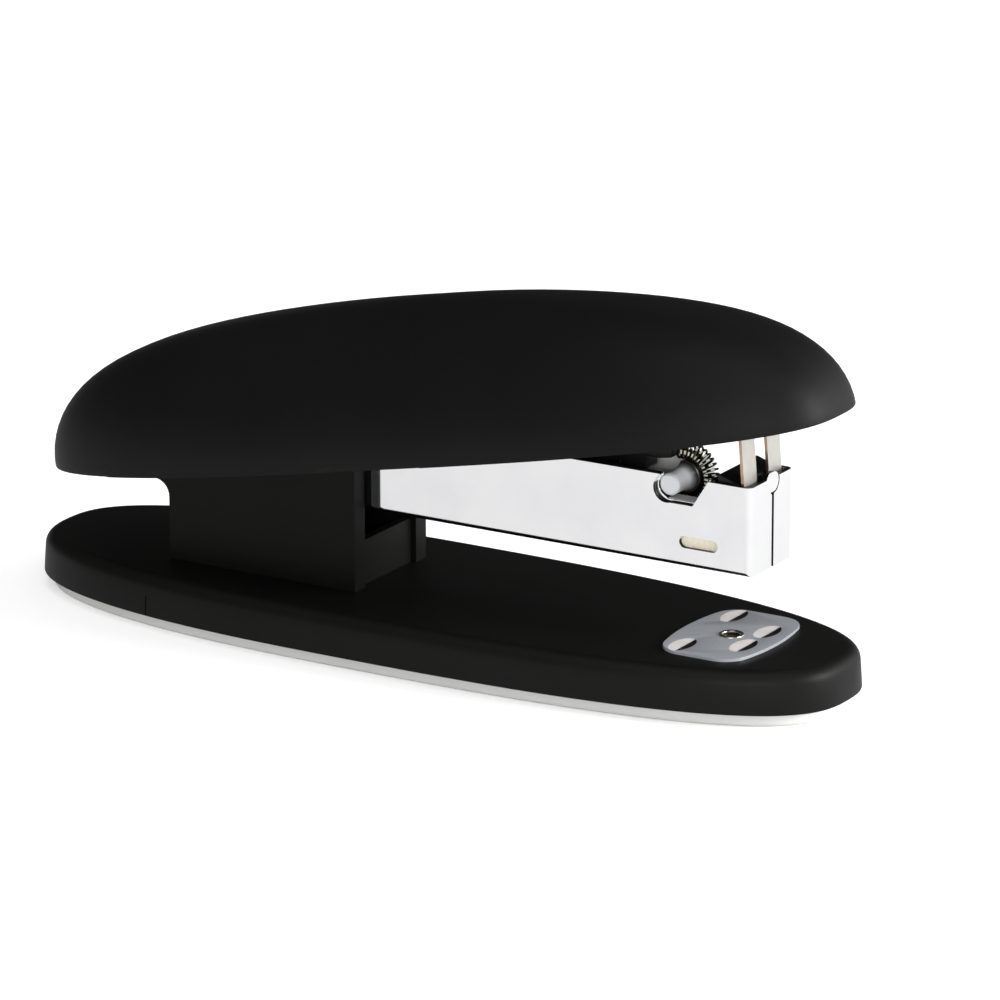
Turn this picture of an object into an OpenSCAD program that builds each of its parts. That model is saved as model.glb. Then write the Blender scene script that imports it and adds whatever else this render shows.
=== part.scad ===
// Desktop stapler with a domed cover, a top-loading magazine and a turning anvil plate.
// Frame: +X towards the nose, +Y across, +Z up, origin on the table under the middle of the base.

/* [Base] */
// Length of the base shell
base_len = 161.2; // [150:0.1:175]
// Width of the base shell
base_w = 49.7; // [47:0.1:58]
// Height of the base's flat top above the table
base_h = 10; // [9:0.1:13]
// Height of the pale sole that shows under the shell
sole_h = 2.5; // [2:0.1:4]
// How far the sole is set in from the shell's wall
sole_inset = 0.8; // [0.5:0.1:3]
// Radius of the shell's rounded top edge
base_edge_r = 2.4; // [1:0.1:4]
// How far the shell's side wall leans in over its height
base_draft = 0.5; // [0:0.1:1.5]
// Wall and roof thickness of the base shell
base_wall = 2.2; // [1.6:0.1:3]
// Distance of the widest station behind the middle of the base
plan_back = 7.45; // [0:0.05:12]
// Fullness exponent of the plan behind the widest station
rear_fullness = 2.5; // [2:0.05:3.5]
// Fullness exponent of the plan before the widest station
front_fullness = 2.7; // [2:0.05:3.5]

/* [Hinge post] */
// Distance of the hinge pin behind the middle of the base
pin_back = 42; // [38:0.5:46]
// Height of the hinge pin's axis above the table
pin_z = 36; // [34:0.5:38]
// Diameter of the hinge pin
pin_d = 4; // [3:0.1:5]
// Radial running clearance on the hinge pin
pin_play = 0.05; // [0.02:0.01:0.1]
// Distance from the hinge axis back to the post's rear face
post_rear = 7; // [6.4:0.1:8]
// Distance from the hinge axis forward to the post's front face
post_front = 31.7; // [28:0.1:33]
// Thickness of each cheek of the post
cheek_t = 3.35; // [3.2:0.05:4.5]
// Gap between the magazine frame's sides and the cheeks
cheek_gap = 1.7; // [1.1:0.05:2]
// Height of the low wall between the cheeks, above the base's top
low_wall_h = 8.1; // [6:0.1:9]
// Radius of the hollow flare at the post's rear top
flare_r = 3; // [2:0.1:4]

/* [Magazine] */
// Width of the magazine casing over its sides
casing_w = 15; // [14.6:0.1:16]
// Height of the magazine casing
casing_h = 15.75; // [15:0.05:17]
// Height of the casing's underside above the table
casing_z = 23.7; // [23.2:0.1:25]
// Sheet thickness of the casing
casing_t = 0.8; // [0.6:0.05:1]
// Distance of the casing's nose behind the front end of the base
nose_setback = 15.05; // [12:0.05:18]
// Distance from the post's front face to the casing's rear end
casing_lag = 0.8; // [0.6:0.1:2]
// Outer radius of the casing's folded corners
fold_r = 1.2; // [0.9:0.05:1.8]
// Wall thickness of the black frame that carries the magazine
frame_t = 1.2; // [0.9:0.1:1.6]
// Height of the magazine frame's sides over the casing's floor
frame_side_h = 12.1; // [11:0.1:12.5]

/* [Staples] */
// Outer width of a staple
staple_w = 12.9; // [12.7:0.05:13]
// Leg length of a staple, over its crown
staple_h = 6.4; // [6:0.1:6.6]
// Thickness of the staple wire
wire_t = 0.5; // [0.4:0.05:0.6]
// Length of the loaded strip
strip_len = 25.6; // [20:0.1:30]
// Length of the pusher's body
pusher_len = 25; // [15:0.5:27]

/* [Follower spring] */
// Outer diameter of the follower spring
coil_d = 3; // [2.6:0.1:3.2]
// Wire thickness of the follower spring
coil_wire = 0.5; // [0.4:0.05:0.6]
// Radius of the saddle that the spring runs over
saddle_r = 3.1; // [2.8:0.1:3.4]
// Radius of the saddle's stub ends
stub_r = 1.9; // [1.7:0.1:2.1]
// Distance from the casing's nose back to the saddle's axis
saddle_back = 16.25; // [15:0.05:18]
// Distance from the casing's top down to the saddle's axis
saddle_drop = 2; // [1.6:0.1:2.4]

/* [Cover] */
// How much shorter the cover's rim is than the base
cover_short = 2.1; // [0:0.1:6]
// Width of the cover at its rim
cover_w = 49.4; // [47:0.1:57]
// Height of the dome over its rim
crown_h = 24.85; // [24:0.05:30]
// Wall thickness of the cover
cover_wall = 2.2; // [1.6:0.1:2.8]
// Nose-up tilt of the rim at rest
cover_tilt = 11.1; // [10:0.1:12.5]
// Height of the rim over the middle of the base at rest
rim_z = 37; // [36:0.1:40]
// Distance of the dome's summit before the middle of the base
summit_x = 4.9; // [0:0.1:12]
// How far the dome's shoulder drops below an ellipse
dome_shoulder = 0.115; // [0:0.005:0.2]
// Extra fullness of the dome towards its rear end
rear_rise = 0.51; // [0.3:0.01:0.6]
// Extra fullness of the dome towards its front end
front_rise = 0.43; // [0.2:0.01:0.55]
// Sheet thickness of the steel frame inside the cover
lever_t = 1.2; // [1:0.1:1.6]
// Height of the cover frame's web over the hinge axis
web_h = 9.2; // [9:0.1:10]
// Thickness of the driver blade
blade_t = 0.6; // [0.5:0.05:0.7]

/* [Anvil] */
// Distance from the casing's nose back to the anvil's pivot
anvil_back = 7.55; // [6:0.05:10]
// Width of the anvil plate
anvil_w = 25.9; // [25.6:0.1:27]
// Length of the anvil plate along its middle
anvil_len = 17.9; // [17.8:0.1:21]
// How far the front and rear edges bow out
anvil_bow = 2; // [1:0.1:3]
// Radius of the anvil plate's corners
anvil_corner = 4.8; // [3:0.1:5.4]
// Thickness of the anvil plate
anvil_t = 0.5; // [0.4:0.05:0.8]

/* [Motion] */
// How far the magazine swings down to the anvil
swing = 6.8; // [6:0.1:7]
// How far the cover swings down onto the magazine
press = 4.5; // [4:0.1:4.6]

/* [Hidden] */

$fn = 48;
seat = 0.3;                                   // gap where two bodies pass each other
slip = 0.25;                                  // gap where one piece slides in another
eps = 0.01;                                   // overshoot of a cut
cut_w = 100;                                  // width of a cut that goes right across
plan_n = 84;                                  // points round a plan outline
dome_rings = 12;                              // rings from the cover's rim to its summit

nose_x = base_len / 2 - nose_setback;
anvil_x = nose_x - anvil_back;
cover_len = base_len - cover_short;
pin_x = -pin_back;
pin_r = pin_d / 2;
mid_x = -plan_back;

// --- Plan outline: two superellipse halves that share the widest station ---

// Point of the outline at angle a, moved in by inset along the outline's normal
function plan_point(a, len, w, shift, inset) =
    let (c = cos(a), s = sin(a),
         n = c < 0 ? rear_fullness : front_fullness,
         mid = mid_x + shift,
         l = c < 0 ? len / 2 - plan_back : len / 2 + plan_back,
         half = w / 2,
         gx = sign(c) * pow(abs(c), 2 - 2 / n) / l,
         gy = sign(s) * pow(abs(s), 2 - 2 / n) / half,
         g = norm([gx, gy]))
    [mid + l * sign(c) * pow(abs(c), 2 / n) - inset * gx / g,
     half * sign(s) * pow(abs(s), 2 / n) - inset * gy / g];

function base_ring(inset) =
    [for (i = [0 : plan_n - 1]) plan_point(360 * i / plan_n, base_len, base_w, 0, inset)];

// Skin between stacked rings of n points, closed at both ends
function skin_faces(n, rings) = concat(
    [[for (i = [0 : n - 1]) i]],
    [for (k = [0 : rings - 2], i = [0 : n - 1])
        let (j = (i + 1) % n) [k * n + i, (k + 1) * n + i, (k + 1) * n + j, k * n + j]],
    [[for (i = [n - 1 : -1 : 0]) (rings - 1) * n + i]]);

module skin(rings) {
    polyhedron(points = [for (r = rings) each r], faces = skin_faces(len(rings[0]), len(rings)));
}

function lift(ring, z) = [for (p = ring) [p.x, p.y, z]];

// --- Small shapes ---

// Cylinder across the object, centred on y = 0
module across(r, w) {
    rotate([90, 0, 0]) cylinder(r = r, h = w, center = true);
}

// Side profile in X and Z, extruded across the object from y0 to y1
module side_plate(y0, y1) {
    translate([0, y1, 0]) rotate([90, 0, 0]) linear_extrude(y1 - y0) children();
}

// The same profile on both sides of the middle plane
module both_sides(y0, y1) {
    side_plate(y0, y1) children();
    side_plate(-y1, -y0) children();
}

// Points of an arc from angle a to angle b
function arc(cx, cy, r, a, b, n = 8) = [for (i = [0 : n]) [cx + r * cos(a + (b - a) * i / n),
                                                          cy + r * sin(a + (b - a) * i / n)]];

// Wire along a path of [point, normal] rows, as a closed tube with flat ends
module wire(path, r, sides) {
    rings = [for (i = [0 : len(path) - 1])
        let (p = path[i], q = path[min(i + 1, len(path) - 1)], o = path[max(i - 1, 0)],
             t = (q - o) / norm(q - o),
             side = cross(t, abs(t.z) < 0.9 ? [0, 0, 1] : [1, 0, 0]),
             u = side / norm(side),
             v = cross(t, u))
        [for (k = [0 : sides - 1]) let (a = -360 * k / sides) p + r * (cos(a) * u + sin(a) * v)]];
    skin(rings);
}

// Upright compression spring from z0 to z1
module coil_spring(r, wire_r, z0, z1, turns) {
    steps = 14;
    wire([for (i = [0 : turns * steps])
        [r * cos(360 * i / steps), r * sin(360 * i / steps),
         z0 + wire_r + (z1 - z0 - 2 * wire_r) * i / (turns * steps)]], wire_r, 6);
}

// Pan-head screw pointing up, its head's underside at z = 0
module screw(shank_r, head_r, head_h, length) {
    translate([0, 0, -head_h]) cylinder(r = head_r, h = head_h);
    cylinder(r = shank_r, h = length);
}

// Distances before the hinge axis
lift_ahead = 18;
stop_ahead = 24;
cover_spring_ahead = 34;

// --- Base ---

post_half = casing_w / 2 + cheek_gap - casing_t + cheek_t;
post_gap = post_half - cheek_t;
post_x0 = pin_x - post_rear;
post_x1 = pin_x + post_front;
screw_r = 1;
screw_head_r = 2.6;
screw_head_h = 1.5;
post_screw_len = 12;
boss_r = 3.6;
rib_t = 1.6;
screw_y = post_half - cheek_t / 2;
screw_xs = [post_x0 + 4.5, post_x1 - 5];
roof_z = base_h - base_wall;

module at_post_screws() {
    for (x = screw_xs, y = [-screw_y, screw_y]) translate([x, y, 0]) children();
}

module sole_outline(inset) {
    polygon(base_ring(sole_inset + inset));
}

module base_sole() color("gainsboro") {
    linear_extrude(sole_h) sole_outline(0);
    // Locating rim inside the shell
    linear_extrude(sole_h + 1.6) difference() {
        sole_outline(base_wall + slip - sole_inset);
        sole_outline(base_wall + slip - sole_inset + 1.4);
    }
}

module base_shell() color("#1b1b1b") difference() {
    union() {
        difference() {
            skin(concat(
                [lift(base_ring(0), sole_h)],
                [for (a = [0 : 15 : 90]) lift(base_ring(base_draft + base_edge_r * (1 - cos(a))),
                                              base_h - base_edge_r * (1 - sin(a)))]));
            // Hollow underside
            translate([0, 0, sole_h - eps]) linear_extrude(roof_z - sole_h + eps)
                polygon(base_ring(base_wall));
        }
        // Ribs and screw bosses under the roof
        for (x = screw_xs) translate([x - rib_t / 2, -screw_y, sole_h + 2])
            cube([rib_t, 2 * screw_y, roof_z - sole_h]);
        translate([screw_xs[1], -rib_t / 2, sole_h + 2])
            cube([anvil_x - screw_xs[1], rib_t, roof_z - sole_h]);
        at_post_screws() translate([0, 0, sole_h + 0.4]) cylinder(r = boss_r, h = roof_z - sole_h);
        translate([anvil_x, 0, roof_z - 1]) cylinder(r = 4.5, h = 2);
    }
    at_post_screws() {
        cylinder(r = screw_r + 0.2, h = 2 * base_h);
        cylinder(r = screw_head_r + 0.2, h = sole_h + 0.4 + screw_head_h + 0.4);
    }
    translate([anvil_x, 0, 0]) {
        cylinder(r = anvil_shank_r + pin_play, h = 2 * base_h);
        cylinder(r = 3.5, h = roof_z - 1);
    }
    // Fine seam down both side walls, in line with the post's rear
    for (y = [-1, 1]) translate([post_x0 + 1.4, y * base_w / 2, 0])
        cube([0.4, 0.9, 2 * (base_h - base_edge_r)], center = true);
}

module post_profile() {
    pin = [pin_x, pin_z];
    polygon(concat(
        [[post_x0, base_h]],
        arc(post_x0 - flare_r, flare_z, flare_r, 0, 90),
        [[post_x0 - flare_r - 1.5, flare_z + flare_r], [post_x0 - flare_r - 1.5, flare_z + flare_r + 3]],
        arc(pin.x, pin.y, cheek_r, 160, 85, 10),
        [[post_x1 - 1.5, cheek_top], [post_x1, cheek_top - 1.5], [post_x1, base_h]]));
}

flare_z = 21.4;
cheek_r = post_rear - 0.5;
frame_top = casing_z + casing_t + frame_side_h;
stop_r = 1.25;
stop_x = pin_x + stop_ahead;
stop_z = frame_top + pin_play + stop_r;
cheek_top = stop_z + stop_r + 0.9;
post_floor = 2.4;
low_wall_t = 1.6;
wall_recess = 1;                              // of the low wall behind the cheeks' front faces

module hinge_post() color("#1a1a19") difference() {
    side_plate(-post_half, post_half) post_profile();
    // Room for the magazine between the cheeks
    translate([pin_x - 4.5, -post_gap, base_h + post_floor])
        cube([post_front + 4.5 - low_wall_t - wall_recess, 2 * post_gap, 60]);
    translate([post_x1 - low_wall_t - wall_recess - eps, -post_gap, base_h + low_wall_h])
        cube([10, 2 * post_gap, 60]);
    translate([post_x1 - wall_recess, -post_gap, base_h - eps]) cube([10, 2 * post_gap, low_wall_h + 1]);
    translate([pin_x, 0, pin_z]) across(pin_r, cut_w);
    translate([stop_x, 0, stop_z]) across(stop_r, cut_w);
    at_post_screws() translate([0, 0, base_h - eps]) cylinder(r = screw_r, h = 10);
}

module post_screws() color("silver") at_post_screws() translate([0, 0, sole_h + 0.4 + screw_head_h + 0.4])
    screw(screw_r, screw_head_r, screw_head_h, post_screw_len);

// Pin riveted over outside the cover frame's arms
arm_in = post_half + seat;
arm_out = arm_in + lever_t;
module hinge_pin() color("silver") translate([pin_x, 0, pin_z]) {
    across(pin_r, 2 * (arm_out + seat));
    for (s = [-1, 1]) translate([0, s * (arm_out + seat + 0.5), 0]) across(pin_r + 1, 1);
}

module stop_pin() color("silver") translate([stop_x, 0, stop_z]) across(stop_r, 2 * post_half);

lift_x = pin_x + lift_ahead;
lift_r = 4;
module lift_spring() color("silver") translate([lift_x, 0, 0])
    coil_spring(lift_r, 0.45, base_h + post_floor, casing_z + casing_t, 5);

// --- Anvil ---

anvil_shank_r = 1.5;
anvil_z = base_h + 0.05;
anvil_top = anvil_z + anvil_t;
groove_len = 7.2;
groove_w = 3.9;
groove_depth = 0.7 * anvil_t;
valley_len = 5.2;
valley_shift = 0.5;                           // the steep side of a groove is the one nearer the nose
// Groove centres: the close pair bends the legs in, the wide pair bends them out
close_row = [4.65, 4.2];
wide_row = [-4.5, 9];

function oval(x, w, l, z) = [for (a = [0 : 12 : 348]) [x + w / 2 * cos(a), l / 2 * sin(a), z]];

// Clinch groove: an oval mouth that falls to a straight valley
module groove() {
    skin([oval(valley_shift, 0.1, valley_len, -groove_depth), oval(0, groove_w, groove_len, 0),
          oval(0, groove_w, groove_len, 1)]);
}

module anvil_outline() {
    edge_x = anvil_len / 2 - anvil_bow;
    r = (pow(anvil_w / 2, 2) + pow(anvil_bow, 2)) / (2 * anvil_bow);
    offset(r = anvil_corner) offset(delta = -anvil_corner) intersection() {
        square([2 * anvil_len, anvil_w], center = true);
        translate([edge_x + anvil_bow - r, 0]) circle(r, $fn = 180);
        translate([r - edge_x - anvil_bow, 0]) circle(r, $fn = 180);
    }
}

module anvil_plate() color("#9aa0a6") translate([anvil_x, 0, anvil_z]) difference() {
    linear_extrude(anvil_t) anvil_outline();
    for (row = [close_row, wide_row], y = [-row.y, row.y]) translate([row.x, y, anvil_t]) groove();
    translate([0, 0, -eps]) cylinder(r = anvil_shank_r, h = 2 * anvil_t);
}

// Hollow rivet: foot under the base's roof, rolled rim round a dished recess
rivet_rim_r = 2.2;
rivet_rim_h = 0.2;
module anvil_rivet() color("#b5a67a") translate([anvil_x, 0, 0]) rotate_extrude() polygon([
    [0, roof_z - 2.6], [2.4, roof_z - 2.6], [2.4, roof_z - 2.1], [anvil_shank_r, roof_z - 2.1],
    [anvil_shank_r, anvil_top], [rivet_rim_r, anvil_top], [rivet_rim_r - 0.06, anvil_top + 0.6 * rivet_rim_h],
    [rivet_rim_r - 0.2, anvil_top + rivet_rim_h], [rivet_rim_r - 0.42, anvil_top + rivet_rim_h],
    [rivet_rim_r - 0.6, anvil_top + 0.5 * rivet_rim_h], [1.25, anvil_top - 0.3], [0, anvil_top - 0.45]]);

module anvil_washer() color("silver") translate([anvil_x, 0, roof_z - 2]) difference() {
    cylinder(r = 3, h = 0.9);
    translate([0, 0, -eps]) cylinder(r = anvil_shank_r + pin_play, h = 2);
}

// --- Magazine ---

casing_top = casing_z + casing_h;
casing_x0 = post_x1 + casing_lag;
floor_z = casing_z + casing_t;
in_w = casing_w / 2 - casing_t;               // half the width inside the casing
nose_in = nose_x - casing_t;
exit_x = nose_in - 2.35;                      // rear edge of the staple exit
saddle_x = nose_x - saddle_back;
saddle_z = casing_top - saddle_drop;
seam_w = 0.3;                                 // seam round the tab
slit_w = 0.7;                                 // straight seam below it

// Notch over the saddle: a seat that hooks over the stub behind, a lower floor, a slanted edge in front
notch_floor = 5.1;
notch_lean = 0.63;
casing_grow = 0.6;
module notch_profile(grow) {
    r = stub_r + grow;
    drop = stub_r + 0.4 + 0.75 * grow;
    high = 6;
    translate([saddle_x, saddle_z]) {
        translate([0, -0.6 * grow]) circle(r);
        polygon([[-r / 2, 0], [-0.7 * r, -0.7 * r - 0.6 * grow], [0, -drop], [notch_floor, -drop],
                 [notch_floor + notch_lean * (drop + high), high], [-r / 2, high]]);
    }
}

module magazine_casing() color("#d9dbdd") {
    casing_sheet();
    on_nose(nose_in, casing_t) intersection() {
        tab_outline(0);
        translate([-2.4, tab_z - tab_r]) square([8, 8]);
    }
}

// Outline in Y and Z, extruded along X from x
module on_nose(x, t) {
    translate([x, 0, 0]) rotate([90, 0, 90]) linear_extrude(t) children();
}

tab_z = casing_top - 0.7;
tab_r = 1.75;
// Round-nosed tab of the near flange, which stands a little over the casing's top
module tab_outline(grow) {
    translate([0.55, tab_z]) circle(tab_r + grow);
    translate([-1, tab_z - tab_r - grow]) square([1.55, 2 * (tab_r + grow)]);
    polygon([[-2.4, casing_top - 0.5], [-1, tab_z + tab_r], [-1, casing_top - 0.5]]);
}

module casing_sheet() difference() {
    intersection() {
        // Plan with rounded nose corners
        translate([0, 0, casing_z]) linear_extrude(casing_h) union() {
            translate([casing_x0, -casing_w / 2]) square([nose_x - fold_r - casing_x0, casing_w]);
            translate([casing_x0, fold_r - casing_w / 2]) square([nose_x - casing_x0, casing_w - 2 * fold_r]);
            for (s = [-1, 1]) translate([nose_x - fold_r, s * (casing_w / 2 - fold_r)]) circle(fold_r);
        }
        // Cross-section with rounded floor corners
        translate([casing_x0 - 1, 0, 0]) rotate([90, 0, 90]) linear_extrude(nose_x - casing_x0 + 2) union() {
            translate([-casing_w / 2, casing_z + fold_r]) square([casing_w, casing_h]);
            translate([fold_r - casing_w / 2, casing_z]) square([casing_w - 2 * fold_r, casing_h]);
            for (s = [-1, 1]) translate([s * (casing_w / 2 - fold_r), casing_z + fold_r]) circle(fold_r);
        }
    }
    // Channel for rail, staples and pusher
    translate([casing_x0 - 1, -in_w, floor_z]) cube([nose_in - casing_x0 + 1, 2 * in_w, casing_h]);
    // Staple exit under the driver
    translate([exit_x, -in_w, casing_z - 1]) cube([nose_in - exit_x, 2 * in_w, 3]);
    // Notches, and slot windows that show how many staples are left
    side_plate(-casing_w, casing_w) notch_profile(casing_grow);
    side_plate(-casing_w, casing_w) slot_window();
    // Rounded lower rear corners
    side_plate(-casing_w, casing_w) difference() {
        translate([casing_x0 - 1, casing_z - 1]) square(2);
        translate([casing_x0 + 1, casing_z + 1]) circle(1);
    }
    // Seam between the two nose flanges, stepped round the near flange's tab
    translate([nose_in - 1, 0, casing_z - 1]) cube([3, slit_w, tab_z - tab_r - casing_z + 1]);
    translate([nose_in - 1, 0, tab_z - tab_r]) rotate([0, 90, 0]) cylinder(r = 0.4, h = 3);
    on_nose(nose_in - 1, 3) difference() {
        tab_outline(seam_w);
        translate([-4, tab_z - 4]) square([4, 8]);
    }
    at_frame_rivets() cylinder(r = frame_rivet_r, h = casing_top);
}

module slot_window() {
    r = 1.05;
    x0 = nose_x - 13.65;
    z = casing_z + 4.5;
    translate([x0, z - r]) translate([r, 0]) square([5.3, 2 * r]);
    for (x = [x0 + r, x0 + r + 5.3]) translate([x, z]) circle(r);
}

frame_rivet_r = 1;
module at_frame_rivets() {
    for (y = [-2.6, 2.6]) translate([casing_x0 + 3, y, 0]) children();
}

frame_x1 = casing_x0 + 7.5;
eye_r = 4.4;
bush_r = pin_r + 1;
frame_in = in_w - frame_t;
bridge_len = 10;

module frame_profile() {
    translate([pin_x, pin_z]) circle(eye_r);
    polygon([[pin_x - 3.6, pin_z - 2.5], [pin_x, pin_z + eye_r], [pin_x + 3, frame_top + 1.6],
             [pin_x + 8, frame_top], [frame_x1, frame_top], [frame_x1, floor_z],
             [pin_x + 9, floor_z], [pin_x - 3, pin_z - 4]]);
}

module magazine_frame() color("#151515") difference() {
    union() {
        both_sides(frame_in, in_w) frame_profile();
        translate([pin_x + 9, -in_w, floor_z]) cube([frame_x1 - pin_x - 9, 2 * in_w, frame_t]);
        // Bridge that carries the cover spring
        translate([cover_spring_x - bridge_len / 2, -in_w, frame_top - frame_t])
            cube([bridge_len, 2 * in_w, frame_t]);
        translate([cover_spring_x, 0, frame_top]) cylinder(r = cover_spring_r - 0.9, h = 1.5);
    }
    translate([pin_x, 0, pin_z]) across(bush_r, cut_w);
    at_frame_rivets() cylinder(r = frame_rivet_r, h = floor_z + frame_t + 1);
}

module pivot_bushes() color("#c9a35a") translate([pin_x, 0, pin_z]) difference() {
    for (s = [-1, 1]) {
        translate([0, s * (frame_in + in_w) / 2, 0]) across(bush_r, frame_t);
        translate([0, s * (in_w + (cheek_gap - seat) / 2), 0]) across(bush_r + 1, cheek_gap - seat);
    }
    across(pin_r + pin_play, cut_w);
}

module frame_rivets() color("silver") at_frame_rivets() {
    translate([0, 0, casing_z - 0.5]) cylinder(r = 1.7, h = 0.5);
    translate([0, 0, casing_z]) cylinder(r = frame_rivet_r, h = casing_t + frame_t);
    translate([0, 0, floor_z + frame_t]) cylinder(r = 1.5, h = 0.5);
}

strip_top = floor_z + staple_h;
leg_in = staple_w / 2 - wire_t;
rail_half = leg_in - 0.5;
rail_t = 0.8;
rail_top = strip_top - wire_t - 0.15;
rail_x0 = frame_x1 + 0.2;
strip_x1 = exit_x + 0.45;

module staple_rail() color("silver") difference() {
    translate([rail_x0, -rail_half, floor_z]) cube([exit_x - rail_x0, 2 * rail_half, rail_top - floor_z]);
    translate([rail_x0 - 1, rail_t - rail_half, floor_z - 1])
        cube([exit_x - rail_x0 + 2, 2 * (rail_half - rail_t), rail_top - floor_z - rail_t + 1]);
}

module staple_strip() color("#cdb98a") difference() {
    translate([strip_x1 - strip_len, -staple_w / 2, floor_z]) cube([strip_len, staple_w, staple_h]);
    translate([strip_x1 - strip_len - 1, -leg_in, floor_z - 1])
        cube([strip_len + 2, 2 * leg_in, staple_h - wire_t + 1]);
    // Score lines between the glued wires, on the crown and both sides
    for (i = [1 : floor(strip_len / (4 * wire_t)) - 1])
        translate([strip_x1 - 4 * wire_t * i, 0, 0]) {
            translate([0, 0, strip_top]) cube([0.12, staple_w + 1, 0.16], center = true);
            for (s = [-1, 1]) translate([0, s * staple_w / 2, strip_top - staple_h / 2])
                cube([0.12, 0.16, staple_h + 1], center = true);
        }
}

bracket_x0 = saddle_x - 11.8;
bracket_x1 = saddle_x + 8.8;
bracket_t = 1.2;
bracket_z0 = strip_top + 0.4;
bracket_z1 = casing_top + 0.2;
lead_z = saddle_z - 1.45;                     // where the cheeks begin to thin out
lead_t = 0.2;
lip_t = 0.6;
lip_half = 2.9;                               // half the slot between the lips, round the spring
lip_z1 = saddle_z - stub_r - 0.65;

// Cheeks inside the casing that hold the saddle's stubs, with a lip turned in under the notch
module saddle_bracket() color("#cfd2d4") difference() {
    union() {
        difference() {
            translate([bracket_x0, -in_w, bracket_z0])
                cube([bracket_x1 - bracket_x0, 2 * in_w, bracket_z1 - bracket_z0]);
            translate([bracket_x0 - 1, bracket_t - in_w, bracket_z0 - 1])
                cube([bracket_x1 - bracket_x0 + 1 - bracket_t, 2 * (in_w - bracket_t), bracket_z1]);
            // Cheeks thin out towards their top, which leads the spring in
            on_nose(bracket_x0 - 1, bracket_x1 - bracket_x0 + 1 - bracket_t) polygon([
                [bracket_t - in_w, lead_z], [in_w - bracket_t, lead_z],
                [in_w - lead_t, bracket_z1 + eps], [lead_t - in_w, bracket_z1 + eps]]);
        }
        for (y = [-in_w + eps, lip_half]) translate([saddle_x - 1.5, y, lip_z1 - lip_t])
            cube([notch_floor + 2.1, in_w - lip_half - eps, lip_t]);
    }
    side_plate(-casing_w, casing_w) notch_profile(0);
}

saddle_half = coil_d / 2 - 0.6;               // the coils overhang the wheel
stub_end = in_w - 0.2;
stub_round = 0.3;
flare_len = 3.2;
flat_back = 1;                                // from the saddle's axis back to its flat face
module spring_saddle() color("#e4e7ea") translate([saddle_x, 0, saddle_z]) {
    difference() {
        saddle_form();
        translate([-flat_back - 10, -10, -10]) cube([10, 20, 20]);
    }
    for (turn = [0, 180]) rotate([90, 0, turn]) cylinder(r = stub_r, h = stub_end - stub_round);
}

// Wheel under the coils that flares down to the round-ended stubs, turned about the cross axis
module saddle_form() {
    half = concat([[0, stub_end], [stub_r - stub_round, stub_end], [stub_r, stub_end - stub_round]],
                  [for (a = [270 : -15 : 180]) [saddle_r + (saddle_r - stub_r) * sin(a),
                                                saddle_half + flare_len + flare_len * cos(a)]]);
    rotate([90, 0, 0]) rotate_extrude()
        polygon(concat(half, [for (i = [len(half) - 1 : -1 : 0]) [half[i].x, -half[i].y]]));
}

// Block that closes the nose behind the blade, with a top sloped to lead the blade in
module nose_guide() color("#17181a") {
    half = in_w - 0.1;
    crest_x = bracket_x1 + 1;
    front_x = strip_x1 - 0.05;
    side_plate(-half, half) polygon([
        [bracket_x1, bracket_z0], [front_x, bracket_z0], [front_x, casing_top + 0.15],
        [crest_x, casing_top + 1.45], [crest_x - 0.4, casing_top + 1.2], [crest_x - 0.4, casing_top - 1.4],
        [bracket_x1, casing_top - 2]]);
}

// --- Follower spring: from the guide's tongue over the saddle and back to the pusher's lug ---

run_r = saddle_r + coil_d / 2;
run_z = saddle_z - run_r;                     // centre of the lower run
hook_z = saddle_z + run_r;                    // centre of the upper run
pusher_x1 = strip_x1 - strip_len - 0.15;
pusher_x0 = pusher_x1 - pusher_len;
lug_t = 2;
tongue_x1 = saddle_x - 1.8;
coil_pitch = 1.25;
top_run = saddle_x - tongue_x1;
bend_run = PI * run_r;
run_len = top_run + bend_run + saddle_x - pusher_x0 - lug_t;

// Centre line at distance s along the spring, with its outward direction
function run_at(s) =
    let (bend = 180 * (s - top_run) / bend_run)
    bend < 0 ? [[tongue_x1 + s, 0, hook_z], [0, 0, 1]] :
    bend < 180 ? let (out = [sin(bend), 0, cos(bend)]) [[saddle_x, 0, saddle_z] + run_r * out, out] :
    [[saddle_x - (s - top_run - bend_run), 0, run_z], [0, 0, -1]];

module follower_spring() color("#4a4438") {
    steps = 7;
    turns = floor(run_len / coil_pitch);
    r = (coil_d - coil_wire) / 2;
    end = coil_wire / 2;
    wire([for (i = [0 : turns * steps])
        let (s = end + (run_len - 2 * end) * i / (turns * steps), c = run_at(s), a = 360 * i / steps)
        c[0] + r * (cos(a) * c[1] + [0, sin(a), 0])], coil_wire / 2, 4);
}

guide_z0 = run_z + coil_d / 2 + 1.4;
guide_z1 = casing_top - 0.6;
guide_x1 = saddle_x - 7.3;
tongue_half = 2.5;
module spring_guide() color("#171717") {
    translate([frame_x1, -in_w, guide_z0]) cube([bracket_x0 - frame_x1, 2 * in_w, guide_z1 - guide_z0]);
    // Tongue that holds the spring's upper end
    side_plate(-tongue_half, tongue_half) polygon([
        [guide_x1 - 14, guide_z1 - 1], [guide_x1 - 8, hook_z + coil_d / 2],
        [tongue_x1 - 1, hook_z + coil_d / 2], [tongue_x1, hook_z + 0.6], [tongue_x1, hook_z - 1.2],
        [tongue_x1 - 2.4, hook_z - 1.6],
        [guide_x1, hook_z - 1.6], [guide_x1, guide_z1 - 1]]);
}

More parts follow.
